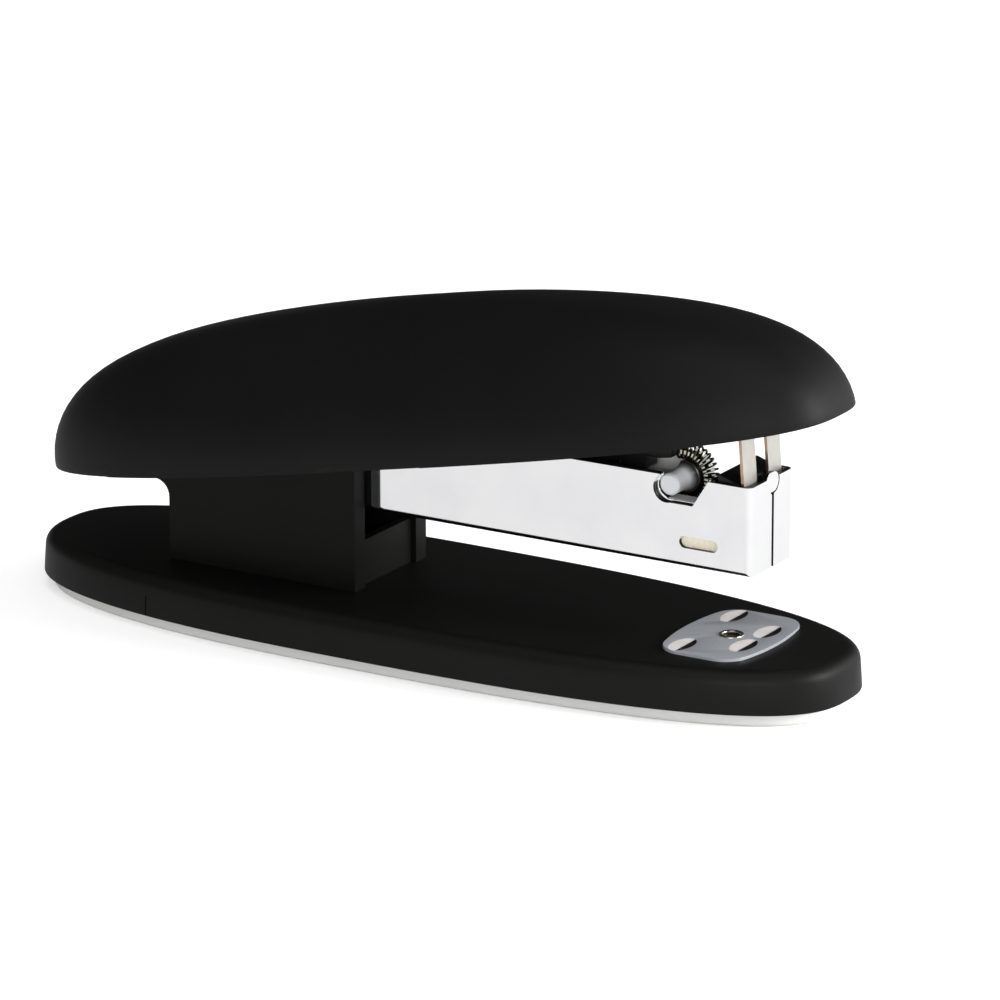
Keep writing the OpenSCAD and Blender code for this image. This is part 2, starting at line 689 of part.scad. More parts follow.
module staple_pusher() color("#161616") {
    half = in_w - slip;
    roof = strip_top + 0.15;
    difference() {
        union() {
            translate([pusher_x0, -half, floor_z + seat]) cube([pusher_len, 2 * half, roof - floor_z - seat]);
            // Lug that the spring's lower end hooks into
            translate([pusher_x0, -tongue_half, roof - eps])
                cube([lug_t, 2 * tongue_half, run_z + coil_d / 2 + 0.4 - roof]);
        }
        translate([pusher_x0 - 1, -rail_half - 0.15, floor_z - 1])
            cube([pusher_len + 2, 2 * rail_half + 0.3, rail_top + 0.2 - floor_z + 1]);
    }
}

// --- Cover ---

cover_shift = 0.55;                           // the rim reaches further forward than back

// Places children in the rim's own plane
module rim_space() {
    translate([0, 0, rim_z]) rotate([0, -cover_tilt, 0]) children();
}

// Places children in the cover frame's space: hinge axis at the origin, level when fully pressed
module lever_space() {
    translate([pin_x, 0, pin_z]) rotate([0, -press, 0]) children();
}

// Point of the dome: a runs round the rim, up goes from 0 at the rim to 90 at the summit
function dome_point(a, up, inset) =
    let (p = plan_point(a, cover_len, cover_w, cover_shift, inset),
         x = summit_x + cos(up) * (p.x - summit_x))
    [x, cos(up) * p.y, dome_rise(x, inset) * dome_fall(sin(up))];
function dome_fall(s) = s * (1 - dome_shoulder * (1 - pow(s, 6)));
function dome_rise(x, inset) =
    let (t = (x - summit_x) / (cover_len / 2))
    (crown_h - inset) * (1 + (t < 0 ? rear_rise : front_rise) * t * t);

// Height of the dome's inside over the rim's plane, on the middle line
function dome_inside(s) =
    let (end = s > summit_x ? cover_shift + cover_len / 2 : cover_shift - cover_len / 2,
         reach = (s - summit_x) / (end - summit_x))
    dome_rise(s, cover_wall) * dome_fall(sqrt(1 - reach * reach));

module dome_shell() {
    n = plan_n;
    rows = [for (k = [0 : dome_rings - 1]) 90 * k / dome_rings];
    outer = [for (up = rows, i = [0 : n - 1]) dome_point(360 * i / n, up, 0)];
    inner = [for (up = rows, i = [0 : n - 1]) dome_point(360 * i / n, up, cover_wall)];
    m = len(outer);
    top = n * (dome_rings - 1);
    polyhedron(
        points = concat(outer, inner, [[summit_x, 0, crown_h], [summit_x, 0, crown_h - cover_wall]]),
        faces = concat(
            [for (k = [0 : dome_rings - 2], i = [0 : n - 1]) let (j = (i + 1) % n)
                [k * n + i, (k + 1) * n + i, (k + 1) * n + j, k * n + j]],
            [for (i = [0 : n - 1]) [top + i, 2 * m, top + (i + 1) % n]],
            [for (k = [0 : dome_rings - 2], i = [0 : n - 1]) let (j = (i + 1) % n)
                [m + k * n + j, m + (k + 1) * n + j, m + (k + 1) * n + i, m + k * n + i]],
            [for (i = [0 : n - 1]) [m + top + (i + 1) % n, 2 * m + 1, m + top + i]],
            [for (i = [0 : n - 1]) let (j = (i + 1) % n) [i, j, m + j, m + i]]));
}

// Bosses inside the dome, at these distances before the hinge axis
boss_xs = [16, 46, 78];
cover_boss_r = 3;
cover_screw_r = 1.2;
// Height over the hinge axis at which a boss at x meets the middle of the dome's wall
function boss_top(x) =
    let (d = cover_tilt - press,
         px = pin_x * cos(cover_tilt) + (pin_z - rim_z) * sin(cover_tilt),
         pn = (pin_z - rim_z) * cos(cover_tilt) - pin_x * sin(cover_tilt),
         s = px + x * cos(d) + 2 * web_h * sin(d))
    (dome_inside(s) + cover_wall / 2 - pn + x * sin(d)) / cos(d);

module cover_shell() color("#1c1c1e") difference() {
    union() {
        rim_space() dome_shell();
        lever_space() for (x = boss_xs) translate([x, 0, web_h + lever_t])
            cylinder(r = cover_boss_r, h = boss_top(x) - web_h - lever_t);
    }
    lever_space() for (x = boss_xs) translate([x, 0, web_h]) cylinder(r = cover_screw_r, h = 9);
}

blade_x = nose_in - 1 - pin_x;                // blade's front face before the hinge axis
blade_w = staple_w + 0.1;
tab_t = lever_t;
narrow_in = casing_w / 2 + 0.4;
narrow_out = narrow_in + lever_t;
step_x0 = post_front + 12;
step_x1 = step_x0 + 9;
tip_x = blade_x - blade_t;

eye_out = pin_r + 3.2;
web_x0 = 10;                                  // rear edge of the web before the hinge axis
tab_h = 4;
skirt_h = 3.4;

// Web outline: wide over the post, narrow over the magazine
module lever_outline(inset) {
    a = arm_out - inset;
    b = narrow_out - inset;
    polygon([[web_x0, -a], [step_x0, -a], [step_x1, -b], [tip_x - inset, -b],
             [tip_x - inset, b], [step_x1, b], [step_x0, a], [web_x0, a]]);
}

// Arm that drops from the web to its eye on the hinge pin
module arm_profile() {
    circle(eye_out);
    polygon([[-3, 4.2], [web_x0, web_h + lever_t], [web_x0 + 18, web_h + lever_t],
             [web_x0 + 18, web_h - skirt_h], [web_x0 + 6, web_h - skirt_h], [3.2, -4.1], [-3, -4.2]]);
}

module cover_frame() color("#20211f") lever_space() difference() {
    union() {
        translate([0, 0, web_h]) linear_extrude(lever_t) lever_outline(0);
        // Skirt along both sides
        translate([0, 0, web_h - skirt_h]) linear_extrude(skirt_h + lever_t) difference() {
            lever_outline(0);
            lever_outline(lever_t);
            translate([web_x0 - 1, -arm_in]) square([2, 2 * arm_in]);
        }
        both_sides(arm_in, arm_out) arm_profile();
        // Tab that carries the driver blade
        translate([tip_x - tab_t, -blade_w / 2, web_h - tab_h]) cube([tab_t, blade_w, tab_h + lever_t]);
    }
    across(pin_r + pin_play, cut_w);
    for (x = boss_xs) translate([x, 0, 0]) cylinder(r = cover_screw_r + 0.15, h = 40);
    at_driver_rivets() cylinder(r = blade_rivet_r, h = 6, center = true);
}

module at_driver_rivets() {
    for (s = [-1, 1]) translate([tip_x, s * 3.8, web_h - 2]) rotate([0, 90, 0]) children();
}

blade_rivet_r = 1;
blade_bottom = floor_z - casing_t + 0.1 - pin_z;
window_w = 4.2;
module driver_blade() color("#d5d2ca") lever_space() difference() {
    translate([tip_x, -blade_w / 2, blade_bottom]) cube([blade_t, blade_w, web_h + lever_t - blade_bottom]);
    // Window between the two strips
    translate([tip_x - 1, -window_w / 2, blade_bottom + 5])
        cube([3, window_w, web_h - tab_h - blade_bottom - 5]);
    at_driver_rivets() cylinder(r = blade_rivet_r, h = 6, center = true);
}

module driver_rivets() color("silver") lever_space() at_driver_rivets() {
    translate([0, 0, -tab_t]) cylinder(r = blade_rivet_r, h = tab_t + blade_t);
    translate([0, 0, blade_t]) cylinder(r = 1.6, h = 0.5);
    translate([0, 0, -tab_t - 0.5]) cylinder(r = 1.6, h = 0.5);
}

module cover_screws() color("silver") lever_space() for (x = boss_xs)
    translate([x, 0, web_h]) screw(cover_screw_r, 2.3, 0.9, 8);

cover_spring_x = pin_x + cover_spring_ahead;
cover_spring_r = 3.3;
module cover_spring() color("silver") translate([cover_spring_x, 0, 0])
    coil_spring(cover_spring_r, 0.4, frame_top,
                pin_z + (cover_spring_x - cover_spring_r - pin_x) * sin(press) + web_h * cos(press), 5);

base_sole();
base_shell();
hinge_post();
post_screws();
hinge_pin();
stop_pin();
lift_spring();
anvil_washer();
anvil_plate();
anvil_rivet();
magazine_casing();
magazine_frame();
pivot_bushes();
frame_rivets();
staple_rail();
staple_strip();
saddle_bracket();
spring_saddle();
nose_guide();
spring_guide();
follower_spring();
staple_pusher();
cover_shell();
cover_frame();
driver_blade();
driver_rivets();
cover_screws();
cover_spring();
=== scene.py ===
import math

import bmesh
import bpy
from bpy.props import FloatProperty, FloatVectorProperty, PointerProperty
from mathutils import Matrix, Vector


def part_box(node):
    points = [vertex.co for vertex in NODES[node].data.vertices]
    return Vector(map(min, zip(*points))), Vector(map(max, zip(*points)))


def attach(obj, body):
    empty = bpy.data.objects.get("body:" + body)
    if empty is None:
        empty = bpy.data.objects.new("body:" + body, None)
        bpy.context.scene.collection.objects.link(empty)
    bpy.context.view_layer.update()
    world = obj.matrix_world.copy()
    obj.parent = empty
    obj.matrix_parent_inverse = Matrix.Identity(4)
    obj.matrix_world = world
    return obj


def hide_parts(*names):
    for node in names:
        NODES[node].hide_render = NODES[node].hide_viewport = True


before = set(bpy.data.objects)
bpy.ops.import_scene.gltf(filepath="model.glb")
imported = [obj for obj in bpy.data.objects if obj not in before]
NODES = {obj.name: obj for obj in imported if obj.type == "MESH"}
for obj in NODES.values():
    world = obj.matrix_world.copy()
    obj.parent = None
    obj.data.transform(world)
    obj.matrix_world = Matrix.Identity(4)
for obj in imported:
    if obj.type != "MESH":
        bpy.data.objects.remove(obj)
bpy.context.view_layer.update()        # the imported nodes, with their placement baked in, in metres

bl_info = {
    "name": "Desktop Stapler Builder",
    "version": (1, 0, 0),
    "blender": (4, 5, 0),
    "location": "View3D > Sidebar > Stapler",
    "description": "Dresses the stapler's frame with its shells, sheet parts, springs and studio",
    "category": "Object",
}

# Lengths in millimetres, if a comment doesn't say otherwise
MM = 0.001  # metres
UP = (0, 0, 1)
NEAR = 0.05  # what lies this close to a plane counts as on it


# ---- nodes and materials

def linear(colour):
    """A colour, which is sRGB hex or linear RGB, as linear RGBA."""
    if not isinstance(colour, str):
        return [*colour, 1.0]
    values = [int(colour[i:i + 2], 16) / 255 for i in (1, 3, 5)]
    return [v / 12.92 if v <= 0.04045 else ((v + 0.055) / 1.055) ** 2.4 for v in values] + [1.0]


def add_node(tree, kind, **inputs):
    """Adds a shader node, and sets or links its inputs: i0 is the first, Fac one by name."""
    node = tree.nodes.new("ShaderNode" + kind)
    for name, value in inputs.items():
        by_number = name[0] == "i" and name[1:].isdigit()
        socket = node.inputs[int(name[1:]) if by_number else name]
        if isinstance(value, bpy.types.NodeSocket):
            tree.links.new(value, socket)
        else:
            socket.default_value = value
    return node


def calc(tree, operation, *values):
    """The result of a Math node over sockets or numbers."""
    node = add_node(tree, "Math", **{f"i{i}": value for i, value in enumerate(values)})
    node.operation = operation
    return node.outputs[0]


def mapped(tree, value, from_low, from_high, to_low=0.0, to_high=1.0):
    """A value mapped from one range to another, and held inside it."""
    return add_node(tree, "MapRange", i0=value, i1=from_low, i2=from_high,
                    i3=to_low, i4=to_high).outputs[0]


def noise(tree, at, width, detail):
    """Noise with patches of about this width at texture coordinates."""
    return add_node(tree, "TexNoise", Vector=at, Scale=1 / width, Detail=detail).outputs["Fac"]


def ramp(tree, factor, *stops):
    """A colour ramp over two (position, colour) stops."""
    node = add_node(tree, "ValToRGB", Fac=factor)
    for element, (position, colour) in zip(node.color_ramp.elements, stops):
        element.position = position
        element.color = linear(colour)
    return node.outputs["Color"]


def fresh_tree(owner):
    """The node tree of a new material or world, without its default nodes."""
    owner.use_nodes = True
    owner.node_tree.nodes.clear()
    return owner.node_tree


def new_material(name):
    """A node material with its surface shader and Object coordinates."""
    material = bpy.data.materials.new(name)
    tree = fresh_tree(material)
    shader = add_node(tree, "BsdfPrincipled")
    add_node(tree, "OutputMaterial", Surface=shader.outputs["BSDF"])
    return material, tree, shader, add_node(tree, "TexCoord").outputs["Object"]


def dress(tree, shader, colour, gloss, roughness, grain, strength, depth_mm):
    """Links a colour, a roughness that varies with the gloss, and a grain as bump."""
    bump = add_node(tree, "Bump", Height=grain, Strength=strength, Distance=depth_mm * MM)
    tree.links.new(colour, shader.inputs["Base Color"])
    tree.links.new(mapped(tree, gloss, 0, 1, *roughness), shader.inputs["Roughness"])
    tree.links.new(bump.outputs["Normal"], shader.inputs["Normal"])


def moulded(name, dark, light, roughness, grain_mm, depth_mm, specular, coat=0.0):
    """Moulded plastic: two close shades in broad patches, and the mould's fine grain as bump."""
    material, tree, shader, at = new_material(name)
    # Patches about 20 mm across keep large faces from looking flat
    broad = noise(tree, at, 20 * MM, 2.0)
    grain = noise(tree, at, grain_mm * MM, 3.0)
    dress(tree, shader, ramp(tree, broad, (0.3, dark), (0.7, light)),
          grain, (roughness - 0.04, roughness + 0.04), grain, 0.35, depth_mm)
    shader.inputs["Specular IOR Level"].default_value = specular
    shader.inputs["Coat Weight"].default_value = coat
    shader.inputs["Coat Roughness"].default_value = 0.2
    return material


def metal(name, base, worn, roughness, brush_mm=(0.15, 8.0, 0.15), depth_mm=0.004, smudge_mm=6.0,
          bare=1.0):
    """Bare or plated metal: rolling lines one way, and soft smudges in its polish."""
    material, tree, shader, at = new_material(name)
    lines = add_node(tree, "Mapping", Vector=at,
                     Scale=[1 / (s * MM) for s in brush_mm])
    brush = noise(tree, lines.outputs["Vector"], 1, 2.0)
    smudge = noise(tree, at, smudge_mm * MM, 3.0)
    dress(tree, shader, ramp(tree, smudge, (0.35, base), (0.75, worn)),
          smudge, (roughness * 0.7, roughness * 1.3), brush, 0.2, depth_mm)
    shader.inputs["Metallic"].default_value = bare
    return material


def painted_middle_shade(material, shade_colour, unshaded_mm, shaded_mm):
    """Paints shade into a finish towards the piece's mid-plane, where the spring's coil shades it.
    """
    tree = material.node_tree
    shader = next(node for node in tree.nodes if node.type == "BSDF_PRINCIPLED")
    at = add_node(tree, "TexCoord").outputs["Object"]
    off_middle = add_node(tree, "SeparateXYZ", Vector=at).outputs["Y"]
    shade_share = mapped(tree, calc(tree, "ABSOLUTE", off_middle), unshaded_mm * MM, shaded_mm * MM)
    # clean is the finish's own colour, before the painted shade
    clean = shader.inputs["Base Color"].links[0].from_socket
    mixed = add_node(tree, "MixRGB", Fac=shade_share, Color1=clean, Color2=linear(shade_colour))
    tree.links.new(mixed.outputs[0], shader.inputs["Base Color"])
    return material


def make_finishes():
    """Every finish of the stapler, by its short name."""
    c = bpy.context.scene.stapler_colours
    # moulded: two shades, roughness, grain and its depth in mm, specular level and coat
    # metal: two shades and roughness
    return {
        # Soft-touch lacquer over ABS: next to no gloss, only a broad sheen
        "soft_touch": moulded(
            "soft_touch_lacquer_on_abs", c.cover, c.cover_patch, 0.55, 0.35, 0.01, 0.16),
        # Spark-eroded ABS of base and post, a little smoother
        "base_abs": moulded("fine_grain_abs", c.base, c.base_patch, 0.5, 0.45, 0.012, 0.15),
        "post_abs": moulded("satin_abs", c.post, c.post_patch, 0.45, 0.5, 0.01, 0.1),
        # Pale thermoplastic rubber of the sole: dense and slightly waxy
        "sole_rubber": moulded("pale_tpr_rubber", c.sole, c.sole_patch, 0.45, 0.6, 0.02, 0.3),
        # Acetal of the saddle, with painted shade that darkens it towards its middle, under the
        # spring's coil
        "acetal_painted_shade": painted_middle_shade(
            moulded("white_acetal_painted_shade", "#dde1e4", "#e5e8ea", 0.32, 0.8, 0.005, 0.45, 0.2),
            "#2c2722", 2.8, 1.1),
        # Nylon of guides and pusher, which catches a line of light
        "black_nylon": moulded("black_nylon", "#101011", "#141415", 0.35, 0.7, 0.01, 0.25),
        # Chrome plating on rolled sheet: mirror bright with faint rolling lines
        "chrome": metal(
            "chrome_plated_sheet", "#e9e9ea", "#e2e2e4", 0.07, depth_mm=0.002, smudge_mm=9.0),
        # Sheared edges of the plated sheet: rough, with thin plating; the same dark finish also
        # serves as painted shade and painted reflection of dark parts
        "dark_edge_and_painted_shade": metal("cut_edge_and_painted_shade", "#2b2a29", "#1d1c1b", 0.4, smudge_mm=1.5),
        # Bright rolled steel of the driver blade, and its coppered cut edges
        "bright_steel": metal(
            "bright_rolled_steel", "#aeaca7", "#a5a39d", 0.5, brush_mm=(0.2, 0.2, 5.0)),
        "coppered_edge": metal("coppered_cut_edge", "#c2a490", "#a98a76", 0.35, smudge_mm=1.5),
        # Satin nickel of the clinch plate, with a near-white painted highlight on the sides of its
        # grooves
        "satin_nickel": metal(
            "satin_nickel_plate", "#b8bcc3", "#afb3ba", 0.3, smudge_mm=5.0, bare=0.3),
        "groove_painted_highlight": metal("nickel_painted_highlight", "#f8f2ef", "#efe8e5", 0.2, smudge_mm=3.0, bare=0.2),
        # Rolled rim of the hollow rivet, and the brass in its recess, painted darker as painted
        # shade
        "rivet_rim": metal("rolled_rivet_rim", "#d9d5c8", "#bdb7a4", 0.2, smudge_mm=1.2),
        "rivet_recess_painted_shade": metal("brass_rivet_painted_shade", "#7d6f4c", "#584c33", 0.35, smudge_mm=1.2),
        # Spring wire painted nearly black as painted shade, with painted glints where the turns
        # face the light
        "wire_painted_shade": metal(
            "spring_steel_painted_shade", "#15130c", "#2a2617", 0.35, (0.3, 0.3, 0.3), smudge_mm=0.8),
        "wire_painted_glint": metal("spring_steel_painted_glint", "#fbf5e2", "#efe6ca", 0.4, (0.3, 0.3, 0.3),
                             smudge_mm=0.8, bare=0.15),
        # Matt white on the bracket's lips and inner faces, a painted reflection of bright light:
        # bright, but no mirror
        "matt_white_painted_reflection": moulded("white_zinc_painted_reflection", "#e6e6e4", "#eeeeec", 0.35, 0.8, 0.004, 0.5),
        "plain_steel": metal("zinc_plated_steel", "#aeb0b2", "#9fa1a4", 0.3),
        # Cream and nearly matt lacquer of the glued staples
        "staple_wire": moulded("lacquered_staple_wire", "#faf5e2", "#f0e8cc", 0.4, 0.5, 0.01, 0.5),
        "black_steel": moulded("black_painted_steel", "#121212", "#151515", 0.35, 0.6, 0.01, 0.2),
        "bush_bronze": metal("sintered_bronze", "#b08b57", "#9a7747", 0.35, smudge_mm=2.0),
    }


FINISH = {}


def paint(piece, finish):
    """Gives a piece or a CAD node one finish all over."""
    piece.data.materials.clear()
    piece.data.materials.append(FINISH[finish])


def paint_faces(piece, finish, test):
    """Gives another finish to the faces whose centre (in mm) and normal pass a test."""
    piece.data.materials.append(FINISH[finish])
    for face in piece.data.polygons:
        if test(face.center / MM, face.normal):
            face.material_index = len(piece.data.materials) - 1


# ---- modelling helpers

def box_mm(node):
    """A CAD node's lowest and highest corners in millimetres."""
    return [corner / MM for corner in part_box(node)]


def pick(piece):
    """Leaves only this piece selected, and active."""
    bpy.ops.object.select_all(action="DESELECT")
    piece.select_set(True)
    bpy.context.view_layer.objects.active = piece


def linked(name, data):
    """A new object with this mesh, curve, light or camera, in the scene."""
    thing = bpy.data.objects.new(name, data)
    bpy.context.collection.objects.link(thing)
    return thing


def added(name, primitive, **settings):
    """Adds and names one of Blender's mesh primitives."""
    bpy.ops.object.select_all(action="DESELECT")
    primitive(**settings)
    piece = bpy.context.object
    piece.name = name
    piece.data.name = name
    return piece


def in_edit_mode(piece, *steps):
    """Runs steps in edit mode, the first one with everything selected."""
    pick(piece)
    bpy.ops.object.mode_set(mode="EDIT")
    select_all()
    for step in steps:
        step()
    bpy.ops.object.mode_set(mode="OBJECT")


def select_all():
    """Edit-mode step: selects everything."""
    bpy.ops.mesh.select_all(action="SELECT")


def face_outwards():
    """Edit-mode step: turns all normals outwards."""
    bpy.ops.mesh.normals_make_consistent(inside=False)


def joined(within_mm):
    """An edit-mode step that joins points this close together."""
    return lambda: bpy.ops.mesh.remove_doubles(threshold=within_mm * MM)


def rounded(radius, segments, clamp=False):
    """An edit-mode step that rounds the selected edges."""
    return lambda: bpy.ops.mesh.bevel(offset=radius * MM, segments=segments, clamp_overlap=clamp)


def chosen(test, faces=False):
    """An edit-mode step that selects edges by their two ends, or faces by centre and normal."""
    def step():
        piece = bpy.context.edit_object
        mesh = bmesh.from_edit_mesh(piece.data)
        bpy.ops.mesh.select_all(action="DESELECT")
        bpy.ops.mesh.select_mode(type="FACE" if faces else "EDGE")
        for part in mesh.faces if faces else mesh.edges:
            where = ((part.calc_center_median(), part.normal) if faces
                     else (part.verts[0].co, part.verts[1].co))
            part.select_set(test(*where))
        bmesh.update_edit_mesh(piece.data)
    return step


def extruded(height):
    """An edit-mode step that extrudes what is selected up or down."""
    by = {"value": (0, 0, height * MM)}
    return lambda: bpy.ops.mesh.extrude_region_move(TRANSFORM_OT_translate=by)


def finish_with(piece, kind, **settings):
    """Applies a modifier with these settings."""
    pick(piece)
    modifier = piece.modifiers.new(kind.lower(), kind)
    for name, value in settings.items():
        setattr(modifier, name, value)
    bpy.ops.object.modifier_apply(modifier=modifier.name)


def break_edges(piece, radius, angle, segments=2):
    """Rounds every edge that turns by more than an angle in degrees."""
    finish_with(piece, "BEVEL", width=radius * MM, segments=segments, limit_method="ANGLE",
                angle_limit=math.radians(angle))


def smooth(piece, angle=35):
    """Shades a piece smooth, apart from edges that turn by more than an angle in degrees."""
    pick(piece)
    bpy.ops.object.shade_smooth_by_angle(angle=math.radians(angle))


def place(piece, matrix):
    """Moves a piece's mesh, not its object."""
    piece.data.transform(matrix)
    piece.data.update()


def settle(piece, body, node):
    """Hands a finished piece to its body, in place of the CAD node, which it hides."""
    pick(piece)
    bpy.ops.object.transform_apply()
    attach(piece, body)
    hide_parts(node)


def merged_copy(node, name):
    """A copy of a CAD node with its loose triangles joined into clean faces."""
    piece = linked(name, NODES[node].data.copy())
    piece.data.name = name
    in_edit_mode(piece, joined(0.002),
                 lambda: bpy.ops.mesh.dissolve_limited(angle_limit=math.radians(0.4)),
                 face_outwards)
    return piece


def cut_with(piece, cutter, operation="DIFFERENCE"):
    """Cuts or joins a piece with another, which is then removed."""
    finish_with(piece, "BOOLEAN", object=cutter, operation=operation, solver="EXACT")
    bpy.data.objects.remove(cutter)


def block(name, low, high):
    """A plain block between two corners."""
    piece = added(name, bpy.ops.mesh.primitive_cube_add, size=1)
    low, high = Vector(low) * MM, Vector(high) * MM
    place(piece, Matrix.Translation((low + high) / 2) @ Matrix.Diagonal((*(high - low), 1)))
    return piece


def turned(name, profile, centre, axis=UP, steps=48):
    """A turned part: (radius, height) points spun round an axis through its centre."""
    piece = linked(name, bpy.data.meshes.new(name))
    mesh = bmesh.new()
    points = [mesh.verts.new((r * MM, 0, h * MM)) for r, h in profile]
    for a, b in zip(points, points[1:]):
        mesh.edges.new((a, b))
    mesh.to_mesh(piece.data)
    mesh.free()
    in_edit_mode(piece, lambda: bpy.ops.mesh.spin(steps=steps, angle=2 * math.pi,
                                                  center=(0, 0, 0), axis=UP),
                 select_all, joined(0.002), face_outwards)
    turn = Vector(UP).rotation_difference(Vector(axis)).to_matrix().to_4x4()
    place(piece, Matrix.Translation(Vector(centre) * MM) @ turn)
    return piece


def wire(name, points, radius):
    """Round wire along a list of points, as a closed mesh."""
    curve = bpy.data.curves.new(name, "CURVE")
    curve.dimensions = "3D"
    curve.bevel_depth = radius * MM
    curve.bevel_resolution = 2
    curve.use_fill_caps = True
    spline = curve.splines.new("POLY")
    spline.points.add(len(points) - 1)
    for point, co in zip(spline.points, points):
        point.co = (*(c * MM for c in co), 1)
    pick(linked(name, curve))
    bpy.ops.object.convert(target="MESH")
    piece = bpy.context.object
    in_edit_mode(piece, joined(0.001), face_outwards)
    pick(piece)
    bpy.ops.object.shade_smooth()
    return piece


# ---- sizes and colours

def size(name, default, low, high, description, **more):
    """A property for a size, in the unit that its description gives."""
    return FloatProperty(name=name, description=description, default=default, min=low, max=high,
                         **more)


def mm(name, default, low, high, description):
    """A property for a size in millimetres."""
    return size(name, default, low, high, description + ", in millimetres")


def share(name, default, description):
    """A property from 0 to 1."""
    return size(name, default, 0, 1, description, subtype="FACTOR")


def shade(name, default, description):
    """A colour property."""
    return FloatVectorProperty(name=name, description=description, subtype="COLOR", size=3,
                               default=linear(default)[:3], min=0, max=1)


class StaplerSizes(bpy.types.PropertyGroup):
    base_len: mm("Base length", 161.2, 120, 220, "Length of the base shell")
    base_w: mm("Base width", 49.7, 40, 70, "Width of the base shell")
    base_h: mm("Base height", 10.0, 8, 16, "Height of the base's top")
    sole_h: mm("Sole height", 2.5, 1, 5, "Height of the pale sole")
    sole_inset: mm("Sole inset", 1.8, 0.5, 4, "How far the sole is set in")
    edge_r: mm("Edge radius", 2.4, 0.5, 4, "Rounding of the base's top edge")
    draft: mm("Draft", 0.5, 0, 2, "Lean of the base's wall")
    plan_back: mm("Widest station", 7.45, 0, 15, "How far behind the middle the plan is widest")
    rear_fullness: size("Rear fullness", 2.5, 2, 4,
                        "Superellipse exponent behind the widest station")
    front_fullness: size("Front fullness", 2.7, 2, 4,
                         "Superellipse exponent before the widest station")
    cover_len: mm("Cover length", 159.1, 120, 220, "Length of the cover along its rim")
    cover_w: mm("Cover width", 49.4, 40, 70, "Width of the cover at its rim")
    cover_wall: mm("Cover wall", 2.2, 1, 4, "Wall of the cover")
    crown_h: mm("Crown height", 24.85, 15, 35, "Height of the dome over its rim")
    cover_tilt: size("Cover tilt", 11.1, 0, 20, "Nose-up tilt of the rim in degrees")
    rim_z: mm("Rim height", 37.0, 30, 45, "Height of the rim over the base's middle")
    summit_x: mm("Summit", 4.9, -20, 30, "How far the dome's summit lies before the middle")
    dome_shoulder: size("Dome shoulder", 0.115, 0, 0.3,
                        "Share by which the shoulder drops below an ellipse")
    rear_rise: share("Rear rise", 0.51, "Extra fullness of the dome towards its rear end")
    front_rise: share("Front rise", 0.43, "Extra fullness of the dome towards its front end")
    cover_shift: mm("Cover shift", 0.55, -3, 3, "How far the rim is set forward of the base's plan")
    pin_x: mm("Hinge position", -42.0, -50, -30, "Distance of the hinge axis before the middle")
    pin_z: mm("Hinge height", 36.0, 30, 42, "Height of the hinge axis above the table")
    press: size("Press", 4.5, 0, 10, "Tilt of the cover's frame at rest in degrees")
    coil_d: mm("Coil diameter", 3.3, 2, 4, "Outer diameter of the follower spring")
    coil_wire: mm("Coil wire", 0.42, 0.2, 0.8, "Wire thickness of the follower spring")
    coil_pitch: mm("Coil pitch", 0.72, 0.4, 2, "Distance between the follower spring's coils")
    saddle_r: mm("Saddle radius", 2.8, 2, 5, "Radius of the saddle under the spring")


class StaplerColours(bpy.types.PropertyGroup):
    cover: shade("Cover", "#0b0b0c", "Soft-touch lacquer of the cover")
    cover_patch: shade("Cover patches", "#0e0e0f", "Lighter patches of the lacquer")
    base: shade("Base", "#0b0b0a", "Plastic of the base shell")
    base_patch: shade("Base patches", "#0e0e0d", "Lighter patches of the base shell")
    post: shade("Post", "#0e0e0d", "Plastic of the hinge post")
    post_patch: shade("Post patches", "#11110f", "Lighter patches of the post")
    sole: shade("Sole", "#d8d8d6", "Rubber of the sole")
    sole_patch: shade("Sole patches", "#dededc", "Lighter patches of the sole")


class StaplerStudio(bpy.types.PropertyGroup):
    floor: shade("Floor", (0.88, 0.88, 0.88), "Colour of the floor")
    camera_glow: share("Camera glow", 0.4, "Glow of the floor towards the camera")
    mirror_glow: share("Mirror glow", 0.06, "Glow of the floor towards what mirrors it")
    room: share("Room", 0.38, "Light of the room on everything")
    mirrored_room: share("Mirrored room", 0.06, "Brightness of the room in what mirrors it")
    azimuth: size("Azimuth", 31.12, -360, 360, "Camera's turn round the stapler in degrees")
    elevation: size("Elevation", 17.09, -90, 90, "Camera's height angle in degrees")
    roll: size("Roll", -0.136, -180, 180, "Camera's roll in degrees")
    distance: size("Distance", 1.1, 0.1, 10, "Camera's distance in metres", unit="LENGTH")
    lens: size("Lens", 229.07, 10, 1000, "Focal length in millimetres")


def sizes():
    """The stapler's sizes in this scene."""
    return bpy.context.scene.stapler_sizes


# ---- forms shared by base and cover

SHOULDER_POWER = 6  # exponent of the dome's shoulder


def signed_power(value, exponent):
    """A power of a number that keeps its sign."""
    return math.copysign(abs(value) ** exponent, value)


def half_plan(ahead, length):
    """Exponent and reach of the plan's front or rear half."""
    s = sizes()
    if ahead >= 0:
        return s.front_fullness, length / 2 + s.plan_back
    return s.rear_fullness, length / 2 - s.plan_back


def plan_point(angle, length, width, shift, inset=0.0):
    """Point of the plan: two superellipse halves that share the widest station."""
    c, n = math.cos(angle), math.sin(angle)
    power, reach = half_plan(c, length)
    middle = shift - sizes().plan_back
    half = width / 2
    slope = Vector((signed_power(c, 2 - 2 / power) / reach,
                    signed_power(n, 2 - 2 / power) / half)).normalized()
    return Vector((middle + reach * signed_power(c, 2 / power),
                   half * signed_power(n, 2 / power))) - inset * slope


def plan_angle(co):
    """The angle that plan_point takes for a point of the base's outline, in metres."""
    s = sizes()
    x = co.x / MM + s.plan_back
    power, reach = half_plan(x, s.base_len)
    c = math.copysign(min(abs(x) / reach, 1) ** (power / 2), x)
    n = math.copysign(min(abs(co.y) / MM / (s.base_w / 2), 1) ** (power / 2), co.y)
    return math.atan2(n, c)


